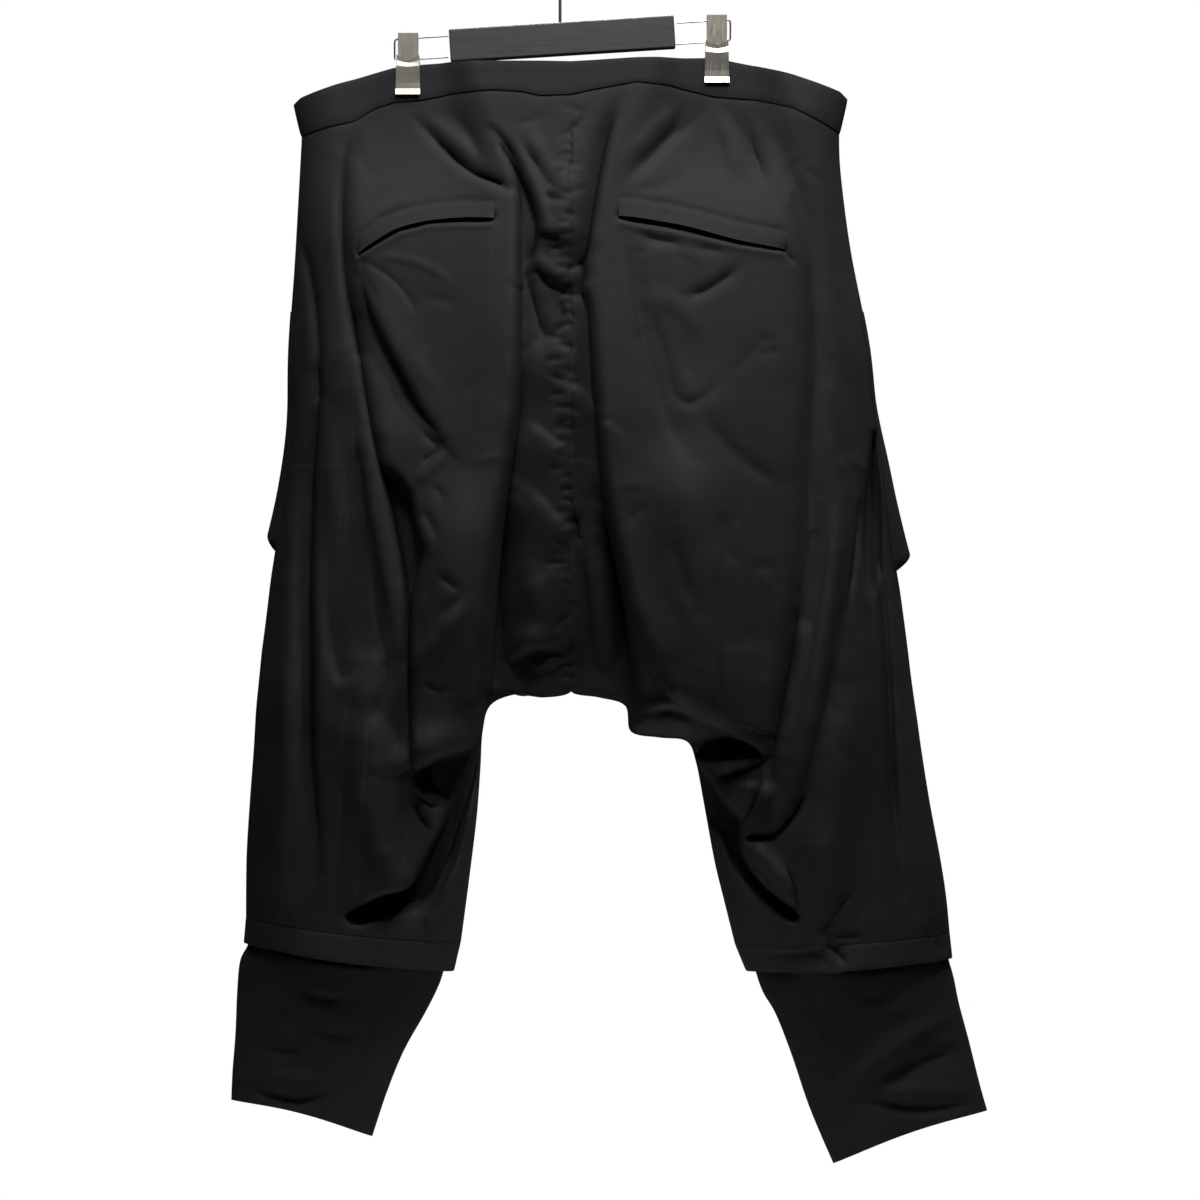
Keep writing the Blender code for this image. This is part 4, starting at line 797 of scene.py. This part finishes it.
def panel_places(table, steps):
    """(x, drop) of a panel's mesh, a row for each level and a column for each step across.

    Both halves take the left one's levels above the crotch, so that they meet in the seam.
    """
    across, to_crotch, to_hem = steps
    body = even_steps(LEFT_ROWS, 0, CROTCH_ROW, to_crotch)
    leg = even_steps(table, CROTCH_ROW, len(table) - 1, to_hem)
    at = np.append(body, leg[1:])
    rows = edge_rows(table, at)
    part = ease((at - CROTCH_ROW + 3) / 4)[:, None]
    share = (1 - part) * columns(across, False) + part * columns(across, True)
    x = rows[:, :1] + share * (rows[:, 2:3] - rows[:, :1])
    drop = rows[:, 1:2] + share * (rows[:, 3:] - rows[:, 1:2])
    dip = at_x(x[0], WAIST_LINE, "seam") - drop[0]
    dip[[0, -1]] = 0
    return x, drop + dip * (1 - ease((drop - 60) / 220))


def band_places(x, drop):
    """(x, drop) of the waistband above a panel's top row."""
    top_x = x[0] * (1 + 0.03 * (np.abs(x[0]) / 229) ** 3)
    top_drop = at_x(top_x, WAIST_LINE, "top")
    share = np.linspace(0, 1, BAND_ROWS + 1)[:, None]
    return top_x + share * (x[0] - top_x), top_drop + share * (drop[0] - top_drop)


def hem_places(x, drop, hem):
    """(x, drop) of the hem band below a panel's last row."""
    across = (x[-1] - x[-1, 0]) / (x[-1, -1] - x[-1, 0])
    low_x = hem.inner_x + across * (hem.outer_x - hem.inner_x)
    low_drop = hem.inner_drop + across * (hem.outer_drop - hem.inner_drop)
    share = np.linspace(0, 1, HEM_ROWS + 1)[:, None]
    return x[-1] + share * (low_x - x[-1]), drop[-1] + share * (low_drop - drop[-1])


def grid_normals(grid, turn):
    """Unit normals of a grid of points."""
    down = np.gradient(grid, axis=0)
    across = np.gradient(grid, axis=1)
    normal = turn * np.cross(down, across)
    return normal / (np.linalg.norm(normal, axis=2)[:, :, None] + 1e-9)


def ring_normals(grid, turn):
    """Unit normals of a grid whose last column meets its first."""
    wrapped = np.concatenate((grid[:, -2:-1], grid, grid[:, 1:2]), axis=1)
    return grid_normals(wrapped, turn)[:, 1:-1]


def raised(grid, turn, lift, gap=0.0):
    """The grid moved off the cloth by lift, and its first column by gap in x."""
    normal = grid_normals(grid, turn)
    grid = grid.copy()
    grid[:, 0, 0] += gap
    return grid + lift * normal


GRIDS = {}


def garment_grids():
    """Every grid of the cloth's outer surface, worked out once."""
    if GRIDS:
        return GRIDS
    for side, half in SIDES.items():
        for face, steps in STEPS.items():
            x, drop = panel_places(half.rows, steps)
            places = {
                "panel": (x, drop),
                "band": band_places(x, drop),
                "hem": hem_places(x, drop, half.hem),
            }
            for part, (px, pd) in places.items():
                grid = cloth(face, px, pd, part)
                if part == "panel":
                    settle(grid[:, :, 1])
                flat = np.stack((px, np.zeros_like(px), -pd - WAIST_BELOW_HOOK), axis=2)
                grid[:, -1] = flat[:, -1]
                inseam = {"band": len(px), "panel": steps[1], "hem": 0}[part]
                grid[inseam:, 0] = flat[inseam:, 0]
                GRIDS[side, face, part] = grid
    return GRIDS


def out_turn(side, face):
    """The sign that turns a grid's normals outwards."""
    return -SIDES[side].sign * FACES[face]


def all_round(back, front):
    """The back's columns from the inner edge out, and then the front's back in."""
    return np.concatenate((back, front[:, -2::-1]), axis=1)


def fresh(name):
    """Removes an earlier piece of this name."""
    old = bpy.data.objects.get(name)
    if old and "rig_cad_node" not in old:
        bpy.data.objects.remove(old)


def new_piece(name, bm, surface):
    """An object at the origin from the bmesh, in place of an earlier one."""
    fresh(name)
    mesh = bpy.data.meshes.new(name)
    bm.to_mesh(mesh)
    bm.free()
    mesh.materials.append(surface)
    made = bpy.data.objects.new(name, mesh)
    bpy.context.scene.collection.objects.link(made)
    return made


def shell(node, outer, turn, thick, slot="twill", ring=False):
    """A thin cloth shell in place of a node's solid, inside a grid of points in mm.

    Its cut edges are closed, and the UV map measures the cloth in metres,
    across and down.
    """
    rows, cols = outer.shape[0] - 1, outer.shape[1] - 1
    bm = bmesh.new()
    row_of = bm.verts.layers.int.new("row")
    col_of = bm.verts.layers.int.new("col")
    bmesh.ops.create_grid(bm, x_segments=cols, y_segments=rows, size=1)
    for vert in bm.verts:
        vert[col_of] = round((vert.co.x + 1) / 2 * cols)
        vert[row_of] = round((vert.co.y + 1) / 2 * rows)
    across = np.linalg.norm(np.diff(outer, axis=1), axis=2)
    down = np.linalg.norm(np.diff(outer, axis=0), axis=2)
    u = np.concatenate((np.zeros((rows + 1, 1)), np.cumsum(across, axis=1)), axis=1) * MM
    v = np.concatenate((np.zeros((1, cols + 1)), np.cumsum(down, axis=0)), axis=0) * MM
    cloth_map = bm.loops.layers.uv.new("cloth")
    for face in bm.faces:
        for loop in face.loops:
            r, c = loop.vert[row_of], loop.vert[col_of]
            loop[cloth_map].uv = (u[r, c], -v[r, c])
    inner = outer - thick * (ring_normals(outer, turn) if ring else grid_normals(outer, turn))
    for vert in bm.verts:
        vert.co = outer[vert[row_of], vert[col_of]] * MM
    if ring:
        seam = [vert for vert in bm.verts if vert[col_of] in (0, cols)]
        bmesh.ops.remove_doubles(bm, verts=seam, dist=1e-7)
    made = bmesh.ops.extrude_face_region(bm, geom=bm.faces[:])
    for item in made["geom"]:
        if isinstance(item, bmesh.types.BMVert):
            item.co = inner[item[row_of], item[col_of]] * MM
    bmesh.ops.recalc_face_normals(bm, faces=bm.faces[:])
    piece = new_piece(f"{node}_cloth", bm, CLOTHS[slot]())
    piece.data.shade_smooth()
    piece.data.set_sharp_from_angle(angle=math.radians(60))
    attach(piece, "root")
    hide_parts(node)
    return piece


# ---------------------------------------------------------------- materials


class Nodes:
    """A short way to place and join a tree's nodes."""

    def __init__(self, tree):
        self.tree = tree

    def add(self, kind, values=(), **settings):
        """A node with its settings, and its inputs given a value or joined to a socket."""
        node = self.tree.nodes.new(kind)
        for name, value in settings.items():
            setattr(node, name, value)
        for name, value in dict(values).items():
            if isinstance(value, bpy.types.NodeSocket):
                self.tree.links.new(value, node.inputs[name])
            else:
                node.inputs[name].default_value = value
        return node

    def join(self, source, target):
        self.tree.links.new(source, target)

    def math(self, operation, a, b=0.0):
        return self.add("ShaderNodeMath", {0: a, 1: b}, operation=operation).outputs[0]

    def noise(self, place, scale, detail, roughness=0.5, distortion=0.0):
        values = {"Vector": place, "Scale": scale, "Detail": detail}
        values.update(Roughness=roughness, Distortion=distortion)
        return self.add("ShaderNodeTexNoise", values).outputs[0]

    def spread(self, noise, low, high):
        """The middle of a noise's range stretched from low to high."""
        values = {0: noise, 1: 0.3, 2: 0.7, 3: low, 4: high}
        return self.add("ShaderNodeMapRange", values).outputs[0]

    def blend(self, share, colour, dark, light):
        """From dark times the colour to light times the colour."""
        dark, light = ((*(min(1, level * c) for c in colour), 1) for level in (dark, light))
        mix = self.add("ShaderNodeMix", {0: share, 6: dark, 7: light}, data_type="RGBA")
        return mix.outputs[2]

    def bump(self, height, depth, **under):
        values = {"Strength": 1.0, "Distance": depth, "Height": height, **under}
        return self.add("ShaderNodeBump", values).outputs[0]


# Pitch of the wale and depths in metres, the slope of its lines and the share of slubs
Weave = namedtuple("Weave", "pitch steepness slub depth crumple_depth")
TWILL_WEAVE = Weave(0.0007, 1.15, 0.8, 0.00002, 0.0003)
JERSEY_KNIT = Weave(0.0009, 0.1, 1.2, 0.00003, 0.0004)
STREAK_DEPTH = 0.00001


def weave_group():
    """Wales and slubs from a cloth map in metres, with a mottling and a soft crumple."""
    group = bpy.data.node_groups.get("cloth weave")
    if group:
        return group
    group = bpy.data.node_groups.new("cloth weave", "ShaderNodeTree")
    face = group.interface
    for name in ("Cloth Map", "Position"):
        face.new_socket(name, in_out="INPUT", socket_type="NodeSocketVector")
    for name, value in (("Pitch", 0.0007), ("Steepness", 1.0), ("Slub", 0.5)):
        face.new_socket(name, in_out="INPUT", socket_type="NodeSocketFloat").default_value = value
    for name in ("Height", "Mottle", "Crumple"):
        face.new_socket(name, in_out="OUTPUT", socket_type="NodeSocketFloat")
    n = Nodes(group)
    given = n.add("NodeGroupInput").outputs
    result = n.add("NodeGroupOutput").inputs
    part = n.add("ShaderNodeSeparateXYZ", {0: given["Cloth Map"]}).outputs
    turns = n.math("DIVIDE", 2 * math.pi, given["Pitch"])
    rise = n.math("ADD", part["X"], n.math("MULTIPLY", part["Y"], given["Steepness"]))
    wale = n.math("SINE", n.math("MULTIPLY", rise, turns))
    pick = n.math("SINE", n.math("MULTIPLY", part["Y"], turns))
    yarns = n.math("ADD", wale, n.math("MULTIPLY", pick, 0.35))
    slub = n.math("MULTIPLY", n.noise(given["Cloth Map"], 900, 2.0, 0.6), given["Slub"])
    n.join(n.math("ADD", yarns, slub), result["Height"])
    n.join(n.noise(given["Position"], 26, 5.0, 0.62), result["Mottle"])
    n.join(n.noise(given["Position"], 34, 3.0, 0.5, 0.6), result["Crumple"])
    return group


def new_material(name):
    """The material of this name, and its nodes and shader where it is new."""
    old = bpy.data.materials.get(name)
    if old:
        return old, None, None
    made = bpy.data.materials.new(name)
    made.use_nodes = True
    return made, Nodes(made.node_tree), made.node_tree.nodes["Principled BSDF"]


def cloth_material(name, colour, roughness, specular, weave):
    """Matt woven or knitted cloth."""
    made, n, shader = new_material(name)
    if n is None:
        return made
    places = n.add("ShaderNodeTexCoord").outputs
    values = {"Cloth Map": places["UV"], "Position": places["Object"], "Pitch": weave.pitch}
    values.update(Steepness=weave.steepness, Slub=weave.slub)
    yarns = n.add("ShaderNodeGroup", values, node_tree=weave_group())
    mottle = yarns.outputs["Mottle"]
    n.join(n.blend(n.spread(mottle, 0.0, 1.0), colour, 0.88, 1.14), shader.inputs["Base Color"])
    n.join(n.spread(mottle, roughness - 0.05, roughness + 0.05), shader.inputs["Roughness"])
    shader.inputs["Specular IOR Level"].default_value = specular
    crumple = n.bump(yarns.outputs["Crumple"], weave.crumple_depth)
    n.join(n.bump(yarns.outputs["Height"], weave.depth, Normal=crumple), shader.inputs["Normal"])
    return made


def twill():
    settings = bpy.context.scene.trouser_cloth
    colour, roughness = settings.twill_colour, settings.twill_roughness
    return cloth_material("black cotton twill", colour, roughness, 0.12, TWILL_WEAVE)


def jersey():
    colour = bpy.context.scene.trouser_cloth.cuff_colour
    return cloth_material("black cuff jersey", colour, 0.85, 0.08, JERSEY_KNIT)


CLOTHS = {"twill": twill, "cuff_cloth": jersey}


def metal(name, colour, roughness, metallic, streaks_each_metre):
    """Metal or lacquer with fine streaks and faint smudges."""
    made, n, shader = new_material(name)
    if n is None:
        return made
    place = n.add("ShaderNodeTexCoord").outputs["Object"]
    stretch = n.add("ShaderNodeMapping", {"Vector": place, "Scale": streaks_each_metre})
    streaks = n.noise(stretch.outputs[0], 1.0, 4.0, 0.6)
    smudge = n.math("MULTIPLY", n.noise(place, 60, 3.0), 0.4)
    wear = n.math("ADD", n.math("MULTIPLY", streaks, 0.6), smudge)
    n.join(n.blend(wear, colour, 0.82, 1.15), shader.inputs["Base Color"])
    n.join(n.spread(streaks, roughness - 0.07, roughness + 0.07), shader.inputs["Roughness"])
    shader.inputs["Metallic"].default_value = metallic
    n.join(n.bump(streaks, STREAK_DEPTH), shader.inputs["Normal"])
    return made


def plain_material(name, colour, roughness):
    made, _, shader = new_material(name)
    if shader:
        shader.inputs["Base Color"].default_value = (*colour, 1)
        shader.inputs["Roughness"].default_value = roughness
    return made


# ------------------------------------------------------------------ settings


class TrouserCloth(bpy.types.PropertyGroup):
    twill_colour: bpy.props.FloatVectorProperty(
        name="Twill colour", description="Colour of the trousers' cloth", subtype="COLOR",
        default=(0.0205, 0.0210, 0.0222), min=0, max=1,
    )
    twill_roughness: bpy.props.FloatProperty(
        name="Twill roughness", description="How matt the cloth is", subtype="FACTOR",
        default=0.62, min=0.2, max=1,
    )
    cuff_colour: bpy.props.FloatVectorProperty(
        name="Cuff colour", description="Colour of the cuffs' jersey", subtype="COLOR",
        default=(0.0215, 0.0210, 0.0200), min=0, max=1,
    )
    fold_depth: bpy.props.FloatProperty(
        name="Fold depth", description="Share of the folds' depth", subtype="FACTOR",
        default=1.0, min=0, max=1.3,
    )
    thickness: bpy.props.FloatProperty(
        name="Cloth thickness", description="Thickness of a single cloth wall", unit="LENGTH",
        default=0.0012, min=0.0005, max=0.003,
    )


class TrouserHanger(bpy.types.PropertyGroup):
    bar_colour: bpy.props.FloatVectorProperty(
        name="Bar colour", description="Colour of the hanger's bar", subtype="COLOR",
        default=(0.037, 0.038, 0.037), min=0, max=1,
    )
    clip_colour: bpy.props.FloatVectorProperty(
        name="Clip colour", description="Colour of the brushed clips", subtype="COLOR",
        default=(0.66, 0.62, 0.54), min=0, max=1,
    )
    wire_colour: bpy.props.FloatVectorProperty(
        name="Wire colour", description="Colour of the steel wires and the hook", subtype="COLOR",
        default=(0.34, 0.34, 0.34), min=0, max=1,
    )


class TrouserStage(bpy.types.PropertyGroup):
    floor_colour: bpy.props.FloatVectorProperty(
        name="Floor colour", description="Colour of the plain floor", subtype="COLOR",
        default=(0.82, 0.82, 0.81), min=0, max=1,
    )
    key_power: bpy.props.FloatProperty(
        name="Key light", description="Power of the key light, in watts",
        default=9.9, min=0, max=500,
    )
    ambient: bpy.props.FloatProperty(
        name="Ambient", description="Brightness of the surroundings on the cloth",
        default=0.025, min=0, max=2,
    )


# ----------------------------------------------------------------- operators

FLOOR_RADIUS = 0.6
FLOOR_Z = -1.26
CAMERA_LENS = 77.6
CAMERA_PLACE = (-0.02465, 2.2, -0.576)
CAMERA_TARGET = (-0.02465, 0, -0.576)

# Lights on the back, which stand on the front too: the place and target in metres, the
# size, and the share of the key light's power
Light = namedtuple("Light", "place target size power")
LIGHTS = {
    "key light": Light((-0.03, 0.6, 0.62), (-0.02, 0, -0.3), 0.3, 1),
    "right light": Light((-1.0, 0.75, 1.9), (-0.1, 0, -0.55), 0.4, 3.6),
    "left light": Light((1.0, 0.75, 1.9), (-0.1, 0, -0.55), 0.4, 1.15),
}


class TROUSERS_OT_stage(bpy.types.Operator):
    """Sets the plain floor, the soft lights and the camera"""

    bl_idname = "trousers.stage"
    bl_label = "Stage"

    def execute(self, context):
        settings = context.scene.trouser_stage
        make_world(settings.ambient)
        make_floor(settings.floor_colour)
        for face, facing in FACES.items():
            for name, light in LIGHTS.items():
                x, y, z = light.place
                power = light.power * settings.key_power
                made = lamp(f"{face} {name}", "AREA", (x, facing * y, z), light.target, power,
                            shape="DISK", size=light.size)
                made.visible_camera = False
        left_clip = (0.1385, 0.0, -0.135)
        lamp("clip glint", "SPOT", (0.9, 2.0, 0.1), left_clip, 12,
             spot_size=math.radians(2.6), spot_blend=1.0, shadow_soft_size=0.05)
        make_camera()
        return {"FINISHED"}


def make_world(ambient):
    """Surroundings that look white but light the cloth only faintly."""
    world = bpy.data.worlds.get("studio") or bpy.data.worlds.new("studio")
    bpy.context.scene.world = world
    world.use_nodes = True
    world.node_tree.nodes.clear()
    n = Nodes(world.node_tree)
    seen = n.add("ShaderNodeBackground", {"Color": (1, 1, 1, 1), "Strength": 1.0})
    soft = n.add("ShaderNodeBackground", {"Color": (1, 1, 1, 1), "Strength": ambient})
    camera_ray = n.add("ShaderNodeLightPath").outputs["Is Camera Ray"]
    mix = n.add("ShaderNodeMixShader", {0: camera_ray, 1: soft.outputs[0], 2: seen.outputs[0]})
    n.add("ShaderNodeOutputWorld", {0: mix.outputs[0]})
    bpy.context.scene.view_settings.view_transform = "Standard"


def make_floor(colour):
    bm = bmesh.new()
    bmesh.ops.create_circle(bm, cap_ends=True, segments=96, radius=FLOOR_RADIUS)
    bmesh.ops.translate(bm, verts=bm.verts[:], vec=(0, 0, FLOOR_Z))
    new_piece("floor", bm, plain_material("pale floor", colour, 0.7))


def aimed(name, data, place, target):
    """A light or camera at a place, turned to its target."""
    fresh(name)
    made = bpy.data.objects.new(name, data)
    made.location = place
    made.rotation_euler = (Vector(target) - Vector(place)).to_track_quat("-Z", "Y").to_euler()
    bpy.context.scene.collection.objects.link(made)
    return made


def lamp(name, kind, place, target, power, **settings):
    light = bpy.data.lights.new(name, kind)
    light.energy = power
    for setting, value in settings.items():
        setattr(light, setting, value)
    return aimed(name, light, place, target)


def make_camera():
    view = bpy.data.cameras.new("camera")
    view.lens = CAMERA_LENS
    view.sensor_width = 36
    bpy.context.scene.camera = aimed("camera", view, CAMERA_PLACE, CAMERA_TARGET)


class TROUSERS_OT_panels(bpy.types.Operator):
    """Builds the four body panels, with their folds and the back pockets' mouths"""

    bl_idname = "trousers.panels"
    bl_label = "Panels"

    def execute(self, context):
        thick = context.scene.trouser_cloth.thickness / MM
        for side in SIDES:
            for face in FACES:
                made = shell(f"{face}_{side}", self.sewn(side, face), out_turn(side, face), thick)
        return {"FINISHED"}

    def sewn(self, side, face):
        """The panel tucked under the waistband, with an allowance turned in at the seam."""
        grid = garment_grids()[side, face, "panel"].copy()
        half, facing, body = SIDES[side], FACES[face], STEPS[face][1]
        tuck = 0.9 * np.exp(-np.arange(len(grid)) / 1.2)[:, None]
        grid[:, :, 1] -= facing * tuck
        grid[:body, 0, 0] += 0.08 * half.sign
        edge = grid[:, :1].copy()
        above_crotch = np.arange(len(grid)) < body
        edge[:, 0, 0] += np.where(above_crotch, half.allowance, 0)
        edge[:, 0, 1] -= facing * np.where(above_crotch, 1.7, 0.3)
        return np.concatenate((edge, grid), axis=1)


def proud(rows, edge, crown):
    """How far a band stands off the cloth, from its upper to its lower edge."""
    share = np.linspace(-1, 1, rows + 1)
    return edge + crown * (1 - share**6)


class TROUSERS_OT_waistband(bpy.types.Operator):
    """Builds the waistband: the back in one piece, and two lapped front halves"""

    bl_idname = "trousers.waistband"
    bl_label = "Waistband"

    def execute(self, context):
        grids = garment_grids()
        lift = proud(BAND_ROWS, edge=0.35, crown=0.55)[:, None, None]
        right, left = (grids[side, "back", "band"] for side in ("right", "left"))
        whole = np.concatenate((right[:, ::-1], left[:, 1:]), axis=1)
        made = shell("waistband_back", raised(whole, -1, lift), -1, BAND_WALL)
        right, left = (grids[side, "front", "band"] for side in ("right", "left"))
        lapped = np.concatenate((right[:, LAP_STEPS:0:-1], left), axis=1)
        beyond = np.arange(lapped.shape[1]) - LAP_STEPS
        over = LAP_LIFT * (1 - ease(beyond / 4))[None, :, None]
        made = shell("waistband_front_left", raised(lapped, 1, lift + over), 1, BAND_WALL)
        made = shell("waistband_front_right", raised(right, -1, lift, gap=-0.3), -1, BAND_WALL)
        return {"FINISHED"}


class TROUSERS_OT_hems(bpy.types.Operator):
    """Builds the hem bands and the cuffs that come out of them"""

    bl_idname = "trousers.hems"
    bl_label = "Hem bands and cuffs"

    def execute(self, context):
        for side in SIDES:
            self.hem_band(side)
            self.cuff(side)
        return {"FINISHED"}

    def hem_band(self, side):
        """A band that rounds out, ripples and stands off the cuff at its lower edge."""
        grids = garment_grids()
        grid = all_round(grids[side, "back", "hem"], grids[side, "front", "hem"])
        turn = out_turn(side, "back")
        normal = ring_normals(grid, turn)
        share = np.linspace(0, 1, HEM_ROWS + 1)[:, None, None]
        around = np.linspace(0, 2 * np.pi, grid.shape[1])[None, :, None]
        wave = np.sin(3 * around + SIDES[side].hem_wave) + 0.6 * np.sin(5 * around + 0.8)
        place, width, stand = SIDES[side].hem_stand
        out = bell(grid[:, :, :1] - place, width) * (grid[:, :, 1:2] > 0)
        lift = -0.55 + 1.1 * (1 - (1 - 2 * share) ** 6) + 0.8 * share**2
        lift = lift + 0.7 * share**2 * (1 + wave) + stand * out * share
        lift = lift * (1 - 0.85 * np.abs(normal[:, :, :1]) ** 3)
        made = shell(f"hem_band_{side}", grid + lift * normal, turn, HEM_WALL, ring=True)

    def cuff(self, side):
        """A jersey tube that flattens towards its mouth."""
        steps, rows = 44, 60
        table = SIDES[side].cuff
        inner_x, inner_drop, outer_x, outer_drop, *stands = (
            values[:, None] for values in smooth(table, np.linspace(0, len(table) - 1, rows + 1)).T
        )
        across = columns(steps, True)
        down = np.linspace(0, 1, rows + 1)[:, None]
        x = inner_x + across * (outer_x - inner_x)
        drop = inner_drop + across * (outer_drop - inner_drop)
        drop = drop - CUFF_DIP * down**3 * np.sin(np.pi * across)
        q = 2 * np.minimum(across, 1 - across)
        close = (q * (2 - q)) ** EDGE_SHAPE
        places = np.stack((x.ravel(), drop.ravel()), axis=1)
        push = fold_field(places, CUFF_FOLDS).reshape(x.shape)
        back, front = (
            np.stack((x, facing * (stand + push) * close, -drop - WAIST_BELOW_HOOK), axis=2)
            for facing, stand in zip(FACES.values(), stands)
        )
        made = shell(f"cuff_{side}", all_round(back, front), out_turn(side, "back"), CUFF_WALL,
                     slot="cuff_cloth", ring=True)


class TROUSERS_OT_pockets(bpy.types.Operator):
    """Builds the back pockets' welts and the patch pockets round the side seams"""

    bl_idname = "trousers.pockets"
    bl_label = "Pockets"

    def execute(self, context):
        for side in SIDES:
            self.welt(side)
        for side in SIDES:
            self.side_pocket(side)
        return {"FINISHED"}

    def welt(self, side):
        """A strip along the upper edge of the mouth, sewn flat at its ends."""
        steps, rows = 70, 12
        table = SIDES[side].welt
        edge = smooth(table, np.linspace(0, len(table) - 1, steps + 1))
        share = np.linspace(0, 1, rows + 1)[:, None]
        x = np.repeat(edge[None, :, 0], rows + 1, axis=0)
        drop = edge[:, 2] + share * (edge[:, 1] - edge[:, 2])
        turn = out_turn(side, "back")
        lift = 0.12 + 0.6 * (1 - (1 - share) ** 4) + 0.5 * share**3
        from_end = np.minimum(np.arange(steps + 1), steps - np.arange(steps + 1))
        ends = 1 - 0.92 * np.exp(-from_end / 2.0)
        grid = raised(cloth("back", x, drop, "welt"), turn, (lift * ends)[:, :, None])
        made = shell(f"welt_{side}", grid, turn, WELT_WALL)

    def side_pocket(self, side):
        """A patch round the side seam whose lower corner stands out."""
        low = SIDES[side].pocket_low
        levels = np.linspace(SIDE_POCKET_TOP, low, 81)
        on_back, on_front = 3, 22
        grid = all_round(self.beside_edge(side, "back", on_back, levels),
                         self.beside_edge(side, "front", on_front, levels))
        turn = out_turn(side, "back")
        across = np.append(0, np.cumsum(np.linalg.norm(np.diff(grid[40], axis=0), axis=1)))
        from_seam = across - across[on_back]
        towards_back = np.clip(1 + from_seam / across[on_back], 0, 1) ** 2
        bulge = np.where(from_seam < 0, towards_back, bell(from_seam, 34))
        down = np.clip((levels - 285) / (low - 297), 0, 1) ** 1.5
        down = down * ease((low - levels) / 12) ** 0.5
        lift = 0.7 + SIDES[side].pocket_reach * down[:, None] * bulge
        lift = lift[:, :, None]
        made = shell(f"side_pocket_{side}", raised(grid, turn, lift), turn, PATCH_WALL)

    def beside_edge(self, side, face, steps, levels):
        """The panel's last columns before the side seam, at each level."""
        panel = garment_grids()[side, face, "panel"][:, -1 - steps:]
        drops = -panel[:, :, 2] - WAIST_BELOW_HOOK
        strip = np.empty((len(levels), steps + 1, 3))
        for c in range(steps + 1):
            for axis in range(3):
                strip[:, c, axis] = np.interp(levels, drops[:, c], panel[:, c, axis])
        return strip


class TROUSERS_OT_closure(bpy.types.Operator):
    """Builds the fly's placket and gives the waist button its finish"""

    bl_idname = "trousers.closure"
    bl_label = "Fly and button"

    def execute(self, context):
        grid = garment_grids()["left", "front", "panel"][4:72, :15].copy()
        normal = grid_normals(grid, 1)
        grid[:, 0, 0] += 0.3
        lift = 0.5 + 0.6 * proud(grid.shape[1] - 1, edge=0, crown=1)[None, :, None]
        made = shell("fly_placket", grid + lift * normal, 1, PATCH_WALL)
        finish_node("waist_button", plain_material("black button", (0.012, 0.012, 0.012), 0.35))
        return {"FINISHED"}


def finish_node(name, surface):
    """Gives a piece of the hanger or a trim its material."""
    node = frame["nodes"][name]
    if not node.material_slots:
        node.data.materials.append(surface)
    for held in node.material_slots:
        held.material = surface


class TROUSERS_OT_hanger(bpy.types.Operator):
    """Gives the bar, the wires, the hook and the clips their finishes"""

    bl_idname = "trousers.hanger"
    bl_label = "Hanger"

    def execute(self, context):
        settings = context.scene.trouser_hanger
        lacquer = metal("dark grey lacquer", settings.bar_colour, 0.5, 0.0, (30, 400, 400))
        steel = metal("steel wire", settings.wire_colour, 0.35, 1.0, (60, 900, 900))
        nickel = metal("brushed nickel", settings.clip_colour, 0.36, 1.0, (1600, 200, 60))
        finish_node("hanger_bar", lacquer)
        for name in ("hook", "wire_loop_left", "wire_loop_right"):
            finish_node(name, steel)
        for name in ("clip_left", "clip_right"):
            finish_node(name, nickel)
        return {"FINISHED"}


class TROUSERS_PT_pieces(bpy.types.Panel):
    """Lists the pieces and their settings"""

    bl_idname = "TROUSERS_PT_pieces"
    bl_label = "Harem Trousers"
    bl_space_type = "VIEW_3D"
    bl_region_type = "UI"
    bl_category = "Trousers"

    def draw(self, context):
        layout = self.layout
        for group in ("trouser_cloth", "trouser_hanger", "trouser_stage"):
            held = getattr(context.scene, group)
            for name in held.bl_rna.properties.keys():
                if name not in ("rna_type", "name"):
                    layout.prop(held, name)
        for kind in OPERATORS:
            layout.operator(kind.bl_idname)


OPERATORS = (
    TROUSERS_OT_stage,
    TROUSERS_OT_panels,
    TROUSERS_OT_waistband,
    TROUSERS_OT_hems,
    TROUSERS_OT_pockets,
    TROUSERS_OT_closure,
    TROUSERS_OT_hanger,
)
GROUPS = {
    "trouser_cloth": TrouserCloth,
    "trouser_hanger": TrouserHanger,
    "trouser_stage": TrouserStage,
}


def register():
    for kind in (*GROUPS.values(), *OPERATORS, TROUSERS_PT_pieces):
        bpy.utils.register_class(kind)
    for name, kind in GROUPS.items():
        setattr(bpy.types.Scene, name, bpy.props.PointerProperty(type=kind))


def unregister():
    for name in GROUPS:
        delattr(bpy.types.Scene, name)
    for kind in (TROUSERS_PT_pieces, *reversed(OPERATORS), *reversed(list(GROUPS.values()))):
        bpy.utils.unregister_class(kind)


def main():
    register()
    bpy.ops.trousers.stage()
    bpy.ops.trousers.panels()
    bpy.ops.trousers.waistband()
    bpy.ops.trousers.hems()
    bpy.ops.trousers.pockets()
    bpy.ops.trousers.closure()
    bpy.ops.trousers.hanger()


if __name__ == "__main__":
    main()
